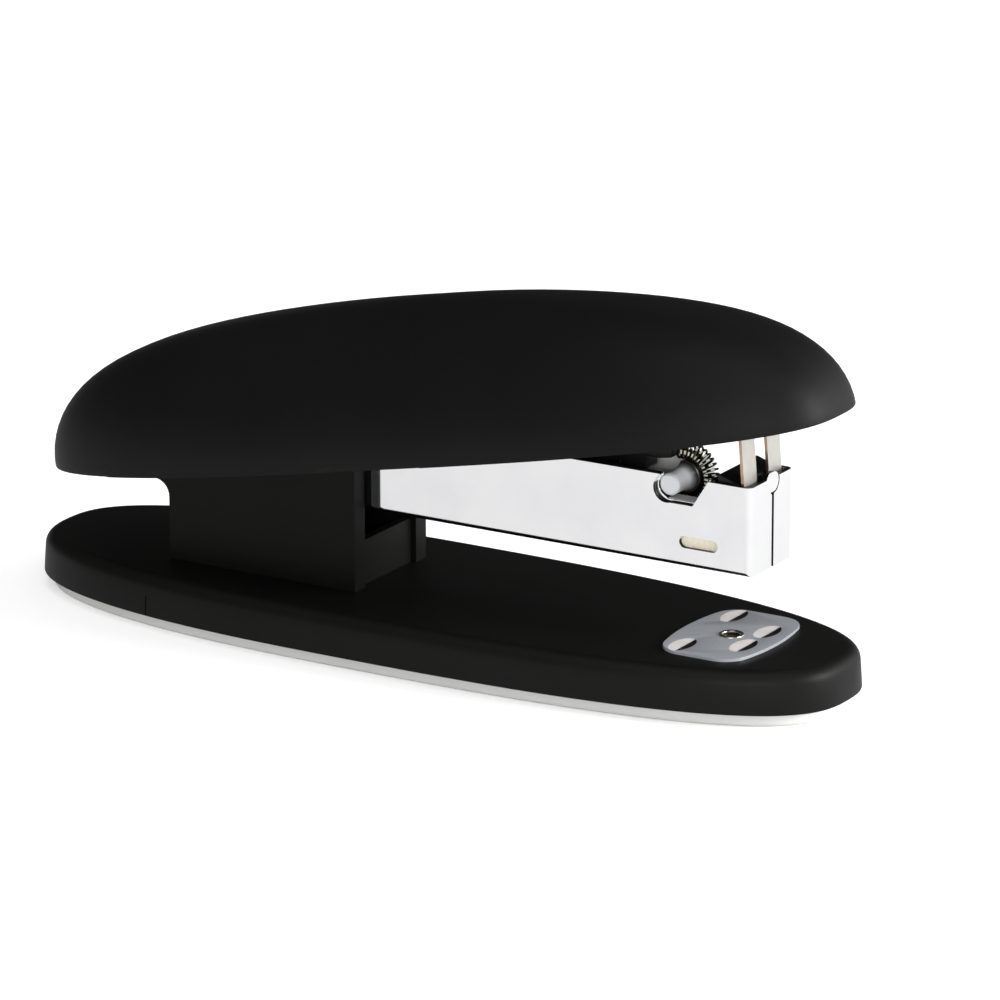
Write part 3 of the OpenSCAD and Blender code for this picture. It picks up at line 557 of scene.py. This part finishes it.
def dome_point(angle, up):
    """Point of the dome over its rim's plane; up is an angle, 0 at the rim."""
    s = sizes()
    rim = plan_point(angle, s.cover_len, s.cover_w, s.cover_shift)
    reach, lift = max(math.cos(up), 0.0), math.sin(up)
    x = s.summit_x + reach * (rim.x - s.summit_x)
    along = (x - s.summit_x) / (s.cover_len / 2)
    rise = s.crown_h * (1 + (s.rear_rise if along < 0 else s.front_rise) * along ** 2)
    return Vector((x, reach * rim.y,
                   rise * lift * (1 - s.dome_shoulder * (1 - lift ** SHOULDER_POWER))))


def plan_slab(name, inset, z0, z1, corners=144):
    """A slab with the base's plan: a filled circle pulled to the outline and extruded up."""
    s = sizes()
    slab = added(name, bpy.ops.mesh.primitive_circle_add, vertices=corners, radius=1,
                 fill_type="NGON")
    for vertex in slab.data.vertices:
        point = plan_point(math.atan2(vertex.co.y, vertex.co.x), s.base_len, s.base_w, 0, inset)
        vertex.co = (point.x * MM, point.y * MM, z0 * MM)
    in_edit_mode(slab, extruded(z1 - z0), select_all, face_outwards)
    return slab


# ---- cover

RIM_R = 0.35  # rounding of both edges of the rim
RIM_STEP = 1.6  # an edge that leads further outwards crosses the rim
BOSS_STATIONS = (16, 46, 78)  # before the hinge axis, along the cover's frame
BOSS_FOOT = 10.4  # top of the frame's web over the hinge axis
BOSS_R, BOSS_BORE_R, BOSS_BORE = 3, 1.2, 7.8  # boss, its screw's hole and the hole's depth


class STAPLER_OT_cover(bpy.types.Operator):
    """Make the domed cover with its wall, rounded rim and screw bosses"""
    bl_idname = "stapler.cover"
    bl_label = "Domed cover"

    def execute(self, context):
        s = sizes()
        cover = added("domed_cover", bpy.ops.mesh.primitive_uv_sphere_add, segments=160,
                      ring_count=56, radius=1)
        in_edit_mode(cover, lambda: bpy.ops.mesh.bisect(plane_co=(0, 0, 0), plane_no=UP,
                                                        clear_inner=True, threshold=1e-5))
        for vertex in cover.data.vertices:
            x, y, z = vertex.co
            vertex.co = dome_point(math.atan2(y, x), math.asin(min(max(z, 0), 1))) * MM
        in_edit_mode(cover, face_outwards)
        finish_with(cover, "SOLIDIFY", thickness=s.cover_wall * MM, offset=-1, use_rim=True,
                    use_even_offset=True)

        def along_rim(a, b):
            """True for the edges that run round the rim, not across its wall."""
            outwards = abs(math.hypot(a.x, a.y) - math.hypot(b.x, b.y))
            return (max(a.z, b.z) < NEAR * MM and abs(a.z - b.z) < 1e-6
                    and (a - b).length > 1e-5 and outwards < RIM_STEP * MM)

        in_edit_mode(cover, chosen(along_rim), rounded(RIM_R, 3, clamp=True))
        smooth(cover, 50)
        place(cover, Matrix.Translation((0, 0, s.rim_z * MM))
              @ Matrix.Rotation(-math.radians(s.cover_tilt), 4, "Y"))
        # Screw bosses stand on the steel frame and end inside the dome's wall
        lean = math.radians(s.press)
        up = Vector((-math.sin(lean), 0, math.cos(lean)))
        along = Vector((math.cos(lean), 0, math.sin(lean)))
        for ahead in BOSS_STATIONS:
            foot = Vector((s.pin_x, 0, s.pin_z)) + ahead * along + BOSS_FOOT * up
            _, wall, _, _ = cover.ray_cast(foot * MM, up)
            height = (wall - foot * MM).length / MM + s.cover_wall / 2
            profile = [(BOSS_BORE_R, 0), (BOSS_R, 0), (BOSS_R, height), (0, height),
                       (0, BOSS_BORE), (BOSS_BORE_R, BOSS_BORE), (BOSS_BORE_R, 0)]
            cut_with(cover, turned("cover_boss", profile, foot, up, 32), "UNION")
        smooth(cover, 50)
        paint(cover, "soft_touch")
        settle(cover, "cover", "cover_shell")
        return {"FINISHED"}


# ---- base and sole

BASE_WALL = 2.2  # walls and roof of the base shell
FOOT_R, SOLE_R = 0.3, 0.7  # rounding of the lower edges of shell and sole
SOLE_OVERLAP = 0.02  # how far the sole stands into the shell
RIB = 0.8  # half of a rib's thickness
RIB_CLEAR, BOSS_CLEAR = 2, 0.4  # from the sole up to a rib, and to a screw boss
ROOTED = 0.5  # how far ribs and bosses reach into the roof
THROUGH = 1  # how far a cutter goes past what it cuts
HEAD_R, SHANK_R, SCREW_BOSS_R = 2.6, 1.6, 3.6  # screw's head, hole for its shank, and its boss
RECESS_R, RECESS = 2.8, 1.9  # recess of a screw's head: radius and depth
PIVOT_R, RIVET_R = 3.5, 1.55  # recess of the rivet's washer, and the rivet's hole
PIVOT_ROOF = 1  # from the washer's recess up to the core's roof
SEAM_AHEAD = 6.3  # from the post's rear lip to the seam in the base's wall
SEAM, SEAM_DEPTH = 0.12, 0.22  # half of the seam's width, and its depth
SEAM_TOP, SEAM_FIND = 0.62, 0.6  # shares of base_h: its top, and where its wall is found


class STAPLER_OT_base(bpy.types.Operator):
    """Make the oval base shell with its rounded edge and seam, and the pale sole under it"""
    bl_idname = "stapler.base"
    bl_label = "Base and sole"

    def execute(self, context):
        s = sizes()
        shell = plan_slab("base_moulding", 0, s.sole_h, s.base_h)
        # The wall leans in a little, and its top edge is fully rounded
        top = (s.base_h - NEAR) * MM
        foot = (s.sole_h + NEAR) * MM
        for vertex in shell.data.vertices:
            if vertex.co.z > top:
                point = plan_point(plan_angle(vertex.co), s.base_len, s.base_w, 0, s.draft)
                vertex.co.x, vertex.co.y = point.x * MM, point.y * MM
        in_edit_mode(shell,
                     chosen(lambda a, b: min(a.z, b.z) > top), rounded(s.edge_r, 8),
                     chosen(lambda a, b: max(a.z, b.z) < foot), rounded(FOOT_R, 2))
        hollow_underside(shell)
        smooth(shell, 30)
        paint(shell, "base_abs")
        settle(shell, "base", "base_shell")

        sole = plan_slab("pale_sole", s.sole_inset, 0, s.sole_h + SOLE_OVERLAP)
        in_edit_mode(sole, chosen(lambda a, b: max(a.z, b.z) < NEAR * MM), rounded(SOLE_R, 4))
        smooth(sole, 30)
        paint(sole, "sole_rubber")
        settle(sole, "base", "base_sole")
        return {"FINISHED"}


def stepped(foot, step, top, wide, narrow):
    """Profile of a hole that is wide from foot to step, and narrow above."""
    return [(0, foot), (wide, foot), (wide, step), (narrow, step), (narrow, top), (0, top)]


def hollow_underside(shell):
    """Cores the base out from below, and leaves ribs and screw bosses under its roof."""
    s = sizes()
    roof = s.base_h - BASE_WALL
    root, over = roof + ROOTED, s.base_h + THROUGH
    cut_with(shell, plan_slab("underside_core", BASE_WALL, s.sole_h - THROUGH, roof, 96))
    screws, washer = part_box("post_screws"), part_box("anvil_washer")
    stations = [screws[0].x / MM + HEAD_R, screws[1].x / MM - HEAD_R]
    side = screws[1].y / MM - HEAD_R
    foot = s.sole_h + BOSS_CLEAR
    for x in stations:
        cut_with(shell, block("cross_rib", (x - RIB, -side, s.sole_h + RIB_CLEAR),
                              (x + RIB, side, root)), "UNION")
        for y in (-side, side):
            boss = [(0, foot), (SCREW_BOSS_R, foot), (SCREW_BOSS_R, root), (0, root)]
            cut_with(shell, turned("screw_boss", boss, (x, y, 0), steps=32), "UNION")
            recess = stepped(foot - THROUGH, foot + RECESS, over, RECESS_R, SHANK_R)
            cut_with(shell, turned("screw_recess", recess, (x, y, 0), steps=32))
    middle = (washer[0].x + washer[1].x) / 2 / MM
    cut_with(shell, block("long_rib", (stations[1], -RIB, s.sole_h + RIB_CLEAR),
                          (middle, RIB, root)), "UNION")
    recess = stepped(0, roof - PIVOT_ROOF, over, PIVOT_R, RIVET_R)
    cut_with(shell, turned("pivot_recess", recess, (middle, 0, 0), steps=40))
    # Fine seam down both side walls, just before the post's rear
    seam_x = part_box("hinge_post")[0].x / MM + SEAM_AHEAD
    for side in (-1, 1):
        outside = Vector((seam_x, side * s.base_w, SEAM_FIND * s.base_h)) * MM
        _, wall, _, _ = shell.ray_cast(outside, Vector((0, -side, 0)))
        y = wall.y / MM
        cut_with(shell, block("seam", (seam_x - SEAM, y - SEAM_DEPTH, -THROUGH),
                              (seam_x + SEAM, y + SEAM_DEPTH, SEAM_TOP * s.base_h)))


# ---- sheet and moulded parts

SHEET = {"magazine_casing": 0.8, "saddle_bracket": 1.2}  # thickness that shows at the edges
FOLD, LOWER_FOLD = 1.5, 1.2  # height of the fold, and of its lower part, painted dark as a painted reflection of the black base
LIP, SEAT = 0.8, 4  # width of the bracket's lips, and height of its floor, both with painted reflection
FLANGE_IN = 1.3  # from the side to a nose flange's own edges


def on_cut_edge(low, high, sheet):
    """A test for the faces along the sheared edges of folded sheet between two corners."""
    def test(c, n):
        side = (high.y - sheet < abs(c.y) < high.y and abs(n.y) < 0.3 and n.z > -0.3
                and c.z > low.z + FOLD)
        top = n.z > 0.3 and c.z > low.z + FOLD
        flange = (c.x > high.x - sheet + 0.02 and abs(n.x) < 0.3
                  and abs(c.y) < high.y - FLANGE_IN)
        return side or top or flange
    return test


class STAPLER_OT_sheet_parts(bpy.types.Operator):
    """Break the edges of the sheet-metal and moulded parts, as their tools leave them"""
    bl_idname = "stapler.sheet_parts"
    bl_label = "Sheet and moulded parts"

    # node: (piece, edge radius in mm, finish, body)
    PARTS = {
        "hinge_post": ("post_moulding", 0.35, "post_abs", "base"),
        "magazine_casing": ("folded_casing", 0.15, "chrome", "magazine"),
        "magazine_frame": ("magazine_channel", 0.1, "black_steel", "magazine"),
        "saddle_bracket": ("saddle_seat", 0.08, "chrome", "magazine"),
        "spring_guide": ("spring_guide_moulding", 0.25, "black_nylon", "magazine"),
        "nose_guide": ("nose_block", 0.25, "black_nylon", "magazine"),
        "staple_pusher": ("pusher_moulding", 0.15, "black_nylon", "pusher"),
        "staple_rail": ("rail_channel", 0.1, "plain_steel", "magazine"),
        "cover_frame": ("lever_channel", 0.15, "black_steel", "cover"),
        "driver_blade": ("blade_strip", 0.05, "bright_steel", "cover"),
    }

    def execute(self, context):
        for node, (name, radius, finish, body) in self.PARTS.items():
            part = merged_copy(node, name)
            break_edges(part, radius, 35)
            smooth(part, 40)
            # Flat faces keep their direction, so only the broken edges look round
            finish_with(part, "WEIGHTED_NORMAL", weight=100, keep_sharp=True)
            paint(part, finish)
            low, high = box_mm(node)
            if node in SHEET:
                # Cut edges and upward faces of the sheet are painted dark, partly as a painted
                # reflection of the dark cover above
                paint_faces(part, "dark_edge_and_painted_shade", on_cut_edge(low, high, SHEET[node]))
            if node == "magazine_casing":
                # The lower fold is painted dark, a painted reflection of the black base below it
                paint_faces(part, "dark_edge_and_painted_shade",
                            lambda c, n: c.z < low.z + LOWER_FOLD and n.z < -0.4)
            if node == "saddle_bracket":
                # The bracket's inner faces, lips and floor get matt white as a painted reflection
                # of bright light
                inside = high.y - SHEET[node] + LIP
                paint_faces(part, "matt_white_painted_reflection",
                            lambda c, n: (abs(c.y) < inside and n.y * c.y < -1
                                          or n.z > 0.9 and c.z < low.z + SEAT))
            if node == "driver_blade":
                paint_faces(part, "coppered_edge", lambda c, n: abs(n.y) > 0.9)
            settle(part, body, node)
        return {"FINISHED"}


# ---- saddle and springs

WHEEL, FLARE = 0.9, 3.2  # half of the saddle's wheel, and its narrowing to a stub
STUB_R, STUB_BREAK = 1.9, 0.3  # radius of the stubs, and the break of their ends
FLAT_BEHIND = 1  # from the saddle's axis back to its flat
CLOSED = 0.75  # closed turns at each end of an upright spring
GLINTS = ((20, 45), (72, 108))  # bands of painted glints round the follower's coil, in degrees
GLINT_SIDE = Vector((0.3, -0.75, 0.6))  # direction that they face


class STAPLER_OT_saddle(bpy.types.Operator):
    """Turn the saddle: a wheel that flares down to two stubs, with a flat behind"""
    bl_idname = "stapler.saddle"
    bl_label = "Spring saddle"

    def execute(self, context):
        s = sizes()
        low, high = box_mm("spring_saddle")
        end = high.y
        x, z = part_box("follower_spring")[1].x / MM - s.saddle_r - s.coil_d, (low.z + high.z) / 2

        def both_ways(half):
            """Adds a profile's mirror image."""
            return half + [(r, -h) for r, h in reversed(half)]

        half = [(s.saddle_r - (s.saddle_r - STUB_R) * math.sin(a),
                 WHEEL + FLARE - FLARE * math.cos(a))
                for a in [math.pi / 2 * i / 10 for i in range(10, -1, -1)]]
        lathe = (x, 0, z), (0, 1, 0), 64    # centre, axis and steps of both turned parts
        saddle = turned("acetal_saddle", both_ways([(0, half[0][1]), *half]), *lathe)
        cut_with(saddle, block("flat", (x - 9, -8, z - 8), (x - FLAT_BEHIND, 8, z + 8)))
        rod = [(0, end), (STUB_R - STUB_BREAK, end), (STUB_R, end - STUB_BREAK)]
        cut_with(saddle, turned("stubs", both_ways(rod), *lathe), "UNION")
        break_edges(saddle, 0.12, 50)
        smooth(saddle, 40)
        # The saddle's finish carries painted shade towards its middle
        paint(saddle, "acetal_painted_shade")
        settle(saddle, "magazine", "spring_saddle")
        return {"FINISHED"}


class STAPLER_OT_springs(bpy.types.Operator):
    """Wind the follower spring over its saddle, and the two upright springs"""
    bl_idname = "stapler.springs"
    bl_label = "Springs"

    # node: (piece, body, half of the wire's thickness in mm)
    UPRIGHT = {"lift_spring": ("lift_coil", "base", 0.45),
               "cover_spring": ("cover_coil", "cover", 0.4)}

    def execute(self, context):
        self.follower()
        turns, steps = 6, 24
        for node, (name, body, wire_r) in self.UPRIGHT.items():
            low, high = box_mm(node)
            radius = (high.x - low.x) / 2 - wire_r
            middle = (low + high) / 2
            points = []
            for i in range(turns * steps + 1):
                # Ends are closed: the pitch opens only between them
                turn = i / steps
                rise = min(max((turn - CLOSED) / (turns - 2 * CLOSED), 0), 1)
                height = low.z + wire_r + rise * (high.z - low.z - 2 * wire_r)
                spin = 2 * math.pi * i / steps
                points.append((middle.x + radius * math.cos(spin),
                               middle.y + radius * math.sin(spin), height))
            spring = wire(name, points, wire_r)
            paint(spring, "plain_steel")
            settle(spring, body, node)
        return {"FINISHED"}

    def follower(self):
        """Winds the follower spring: an upper run, a bend round the saddle, and a lower run."""
        s = sizes()
        low, high = box_mm("follower_spring")
        coil = (s.coil_d - s.coil_wire) / 2
        bend_r = s.saddle_r + s.coil_d / 2
        centre = Vector((high.x - s.saddle_r - s.coil_d, 0, (low.z + high.z) / 2))
        top_run = centre.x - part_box("spring_guide")[1].x / MM    # from the guide's tongue
        bend = math.pi * bend_r
        length = top_run + bend + centre.x - low.x
        steps = 14
        count = int(length / s.coil_pitch) * steps
        points = []
        for i in range(count + 1):
            # What lies past either end of the half turn goes into a straight run
            along = length * i / count - top_run
            turn = min(max(along / bend, 0), 1) * math.pi
            out = Vector((math.sin(turn), 0, math.cos(turn)))
            straight = min(along, 0) - max(along - bend, 0)
            spin = 2 * math.pi * i / steps
            points.append(centre + Vector((straight, 0, 0)) + bend_r * out
                          + coil * (math.cos(spin) * out + Vector((0, math.sin(spin), 0))))

        def in_painted_glint(c, n):
            """True for upward faces in the glint bands, outside the coil's mean radius."""
            outwards = math.hypot(c.x - centre.x, c.z - centre.z) - bend_r
            round_coil = math.degrees(math.atan2(abs(c.y), outwards))
            return (c.x > centre.x - 1 and n.dot(GLINT_SIDE) > 0.5
                    and coil < math.hypot(outwards, c.y)
                    and any(a < round_coil < b for a, b in GLINTS))

        spring = wire("follower_coil", points, s.coil_wire / 2)
        # The coil is painted dark as painted shade, and its faces towards the light get painted
        # glints
        paint(spring, "wire_painted_shade")
        paint_faces(spring, "wire_painted_glint", in_painted_glint)
        settle(spring, "magazine", "follower_spring")


# ---- staples and clinch plate

STAPLE_WIRE = 0.5  # thickness of the staples' wire
PUNCH_LEAN = 0.4  # from a clinch groove's middle back to its bottom
GROOVES_X, GROOVES_IN = 7, 0.3  # grooves: how near to the rivet, and how far inside
FOOT_RIM_R, FOOT_RIM, NECK_R = 2.4, 0.5, 1.5  # rivet's foot and its thickness, and its neck
ROLL_R, ROLL_OUT, ROLL_UP = 1.9, 0.3, 0.2  # rolled rim: its middle, and how far it reaches
DISH = ((1.45, 0.16), (1.25, 0.3), (0.7, 0.41), (0, 0.45))  # radius and depth in the rivet
BRASS_R = 1.6  # brass inside the rolled rim


class STAPLER_OT_staples(bpy.types.Operator):
    """Lay the strip of glued staples on the rail, one wire after another"""
    bl_idname = "stapler.staples"
    bl_label = "Staple strip"

    def execute(self, context):
        low, high = box_mm("staple_strip")
        half = (high.y - low.y) / 2
        length = high.z - low.z - STAPLE_WIRE
        staple = added("staple_strip_wires", bpy.ops.mesh.primitive_cube_add, size=1)
        place(staple, Matrix.Diagonal((STAPLE_WIRE * MM, 2 * half * MM, STAPLE_WIRE * MM, 1)))

        def scored(side):
            """An edit-mode step that scores the crown where a leg leaves it."""
            at = (0, side * (half - STAPLE_WIRE) * MM, 0)
            return lambda: bpy.ops.mesh.bisect(plane_co=at, plane_no=(0, 1, 0))

        def leg(side):
            """Edit-mode steps that extrude one leg down."""
            middle = side * (half - STAPLE_WIRE / 2) * MM
            return (chosen(lambda c, n: n.z < -0.5 and abs(c.y - middle) < STAPLE_WIRE * MM,
                           faces=True), extruded(-length))

        in_edit_mode(staple, scored(1), select_all, scored(-1), *leg(-1), *leg(1))
        break_edges(staple, 0.1, 50, 1)
        place(staple, Matrix.Translation((low.x * MM + STAPLE_WIRE / 2 * MM, 0,
                                          (high.z - STAPLE_WIRE / 2) * MM)))
        finish_with(staple, "ARRAY", count=int((high.x - low.x) / STAPLE_WIRE + 0.01),
                    use_relative_offset=False, use_constant_offset=True,
                    constant_offset_displace=(STAPLE_WIRE * MM, 0, 0))
        smooth(staple, 20)
        paint(staple, "staple_wire")
        settle(staple, "magazine", "staple_strip")
        return {"FINISHED"}


class STAPLER_OT_anvil(bpy.types.Operator):
    """Press the clinch plate with its four grooves, and set its hollow rivet"""
    bl_idname = "stapler.anvil"
    bl_label = "Clinch plate and rivet"

    def execute(self, context):
        plate = merged_copy("anvil_plate", "clinch_plate")
        low, high = box_mm("anvil_plate")
        pivot = (low.x + high.x) / 2

        def by_grooves(at):
            return abs(at.x - pivot) < GROOVES_X and abs(at.y) < high.y - GROOVES_IN

        def in_groove(c, n):
            return 0.1 < n.z < 0.9995 and c.z > low.z + 0.1

        # The punch leans, so each groove is deepest near its rear side
        for vertex in plate.data.vertices:
            at = vertex.co / MM
            if low.z + 0.1 < at.z < high.z - 0.1 and by_grooves(at):
                vertex.co.x -= PUNCH_LEAN * MM
        break_edges(plate, 0.12, 60)
        smooth(plate, 12)
        paint(plate, "satin_nickel")
        # Painted highlight: the groove sides get a near-white copy of the nickel
        paint_faces(plate, "groove_painted_highlight", in_groove)
        # Painted shade: the steep side of each groove is painted dark
        paint_faces(plate, "dark_edge_and_painted_shade",
                    lambda c, n: in_groove(c, n) and n.x < -0.12 and by_grooves(c))
        settle(plate, "anvil", "anvil_plate")

        # The rivet's foot, its rolled rim, and the dish inside it
        top = high.z
        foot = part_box("anvil_rivet")[0].z / MM
        neck = foot + FOOT_RIM
        profile = [(0, foot), (FOOT_RIM_R, foot), (FOOT_RIM_R, neck), (NECK_R, neck), (NECK_R, top)]
        profile += [(ROLL_R + ROLL_OUT * math.cos(a), top + ROLL_UP * math.sin(a))
                    for a in [math.pi * i / 8 for i in range(9)]]
        profile += [(r, top - depth) for r, depth in DISH]
        rivet = turned("hollow_rivet", profile, (pivot, 0, 0))
        smooth(rivet, 40)
        paint(rivet, "rivet_rim")
        # The rivet's recess is painted dark brass, partly painted shade
        paint_faces(rivet, "rivet_recess_painted_shade",
                    lambda c, n: c.z > top - 1 and math.hypot(c.x - pivot, c.y) < BRASS_R)
        settle(rivet, "anvil", "anvil_rivet")
        return {"FINISHED"}


class STAPLER_OT_small_parts(bpy.types.Operator):
    """Give the pins, screws, rivets, washers and bushes their metal finishes"""
    bl_idname = "stapler.small_parts"
    bl_label = "Small parts"

    STEEL = ("post_screws", "hinge_pin", "stop_pin", "anvil_washer", "frame_rivets",
             "driver_rivets", "cover_screws")

    def execute(self, context):
        for node in (*self.STEEL, "pivot_bushes"):
            smooth(NODES[node])
            paint(NODES[node], "plain_steel" if node in self.STEEL else "bush_bronze")
        return {"FINISHED"}


# ---- floor, light and camera

AIM = (12.07, 0, 27.23)  # what the camera and the lamps look at
FLOOR_DROP = 0.02  # from the sole down to the floor

# Lamp: (place and size in metres, power in watts)
LAMPS = {
    "fill_front": ((0.6, -1.3, 0.9), (1.2, 1.0), 3.2),
    "slot_front": ((0.55, -1.15, 0.3), (0.5, 0.25), 4.6),
    "top_soft": ((0.1, -0.4, 1.25), (1.2, 1.2), 5.5),
    "side_right": ((1.0, 0.3, 0.35), (0.5, 0.5), 14.0),
    "edge_right": ((0.72, 1.0, 0.3), (1.2, 0.5), 3.5),
}

# Along each axis of a mirrored ray, white comes in from the first value to the second
SWEEP = (("Y", 0.1, -0.3), ("Z", 0.55, 0.3), ("X", 0.3, 0.7))
SWEEP_LIGHT = 0.95  # brightness of that white


def ray_kinds(tree):
    """Whether a ray is the camera's own, and whether it comes from what mirrors or refracts."""
    path = add_node(tree, "LightPath").outputs
    mirrored = calc(tree, "MAXIMUM", path["Is Glossy Ray"], path["Is Transmission Ray"])
    return path["Is Camera Ray"], mirrored


def make_floor(studio):
    """A matt floor that glows a little for the camera, and less for what mirrors it."""
    floor = added("studio_floor", bpy.ops.mesh.primitive_plane_add, size=12,
                  location=(0, 0, -FLOOR_DROP * MM))
    material = bpy.data.materials.new("matt_white_floor")
    tree = fresh_tree(material)
    seen, mirrored = ray_kinds(tree)
    glow = calc(tree, "ADD", calc(tree, "MULTIPLY", seen, studio.camera_glow),
                calc(tree, "MULTIPLY", mirrored, studio.mirror_glow))
    matt = add_node(tree, "BsdfDiffuse", Color=(*studio.floor, 1))
    white = add_node(tree, "Emission", Color=(1, 1, 1, 1), Strength=glow)
    both = add_node(tree, "AddShader", i0=matt.outputs[0], i1=white.outputs[0])
    add_node(tree, "OutputMaterial", Surface=both.outputs[0])
    floor.data.materials.append(material)


def make_room(context, studio):
    """A white room. Mirrors see white only in front on the right, for the chrome's dark lines."""
    context.scene.world = bpy.data.worlds.new("soft_room")
    tree = fresh_tree(context.scene.world)
    seen, mirrored = ray_kinds(tree)
    at = add_node(tree, "TexCoord").outputs["Generated"]
    ray = add_node(tree, "SeparateXYZ", Vector=at)
    sweep, *others = [mapped(tree, ray.outputs[axis], dim, bright) for axis, dim, bright in SWEEP]
    for other in others:
        sweep = calc(tree, "MULTIPLY", sweep, other)
    sweep = mapped(tree, sweep, 0, 1, studio.mirrored_room, SWEEP_LIGHT)
    level = calc(tree, "MAXIMUM", seen, mapped(tree, mirrored, 0, 1, studio.room, sweep))
    sky = add_node(tree, "Background", Color=(1, 1, 1, 1), Strength=level)
    add_node(tree, "OutputWorld", Surface=sky.outputs[0])


def make_lamps(target):
    """Soft rectangular lamps that all point at the target."""
    for name, (spot, extent, power) in LAMPS.items():
        light = bpy.data.lights.new(name, "AREA")
        light.shape = "RECTANGLE"
        light.size, light.size_y = extent
        light.energy = power
        lamp = linked(name, light)
        lamp.location = spot
        lamp.rotation_euler = (target - Vector(spot)).to_track_quat("-Z", "Y").to_euler()


def make_camera(context, studio, target):
    """The camera, at its distance from the target."""
    lens = bpy.data.cameras.new("camera")
    lens.lens = studio.lens
    lens.sensor_width = 36.0
    lens.clip_start, lens.clip_end = 0.05, 20
    camera = linked("camera", lens)
    turn, rise = math.radians(studio.azimuth), math.radians(studio.elevation)
    back = Vector((math.sin(turn) * math.cos(rise), -math.cos(turn) * math.cos(rise),
                   math.sin(rise)))
    camera.location = target + studio.distance * back
    camera.rotation_euler = (Matrix.Rotation(turn, 3, "Z")
                             @ Matrix.Rotation(math.pi / 2 - rise, 3, "X")
                             @ Matrix.Rotation(math.radians(studio.roll), 3, "Z")).to_euler()
    context.scene.camera = camera


class STAPLER_OT_studio(bpy.types.Operator):
    """Set up the pale floor, the soft light and the camera"""
    bl_idname = "stapler.studio"
    bl_label = "Studio"

    def execute(self, context):
        studio = context.scene.stapler_studio
        target = Vector(AIM) * MM
        make_floor(studio)
        make_room(context, studio)
        make_lamps(target)
        make_camera(context, studio, target)
        context.scene.view_settings.view_transform = "Standard"
        return {"FINISHED"}


# ---- panel and registration

GROUPS = {"stapler_sizes": StaplerSizes, "stapler_colours": StaplerColours,
          "stapler_studio": StaplerStudio}
OPERATORS = (STAPLER_OT_studio, STAPLER_OT_cover, STAPLER_OT_base, STAPLER_OT_sheet_parts,
             STAPLER_OT_saddle, STAPLER_OT_springs, STAPLER_OT_staples, STAPLER_OT_anvil,
             STAPLER_OT_small_parts)


class STAPLER_PT_panel(bpy.types.Panel):
    """Lists the stapler's pieces, sizes and colours"""
    bl_idname = "STAPLER_PT_panel"
    bl_label = "Stapler"
    bl_space_type = "VIEW_3D"
    bl_region_type = "UI"
    bl_category = "Stapler"

    def draw(self, context):
        for operator in OPERATORS:
            self.layout.operator(operator.bl_idname)
        for group in GROUPS:
            for name in GROUPS[group].__annotations__:
                self.layout.prop(getattr(context.scene, group), name)


CLASSES = (*GROUPS.values(), *OPERATORS, STAPLER_PT_panel)


def register():
    for cls in CLASSES:
        bpy.utils.register_class(cls)
    for name, group in GROUPS.items():
        setattr(bpy.types.Scene, name, PointerProperty(type=group))


def unregister():
    for name in GROUPS:
        delattr(bpy.types.Scene, name)
    for cls in reversed(CLASSES):
        bpy.utils.unregister_class(cls)


def main():
    """Builds the dressed stapler and its studio."""
    register()
    FINISH.update(make_finishes())
    bpy.ops.stapler.studio()
    bpy.ops.stapler.cover()
    bpy.ops.stapler.base()
    bpy.ops.stapler.sheet_parts()
    bpy.ops.stapler.saddle()
    bpy.ops.stapler.springs()
    bpy.ops.stapler.staples()
    bpy.ops.stapler.anvil()
    bpy.ops.stapler.small_parts()


if __name__ == "__main__":
    main()
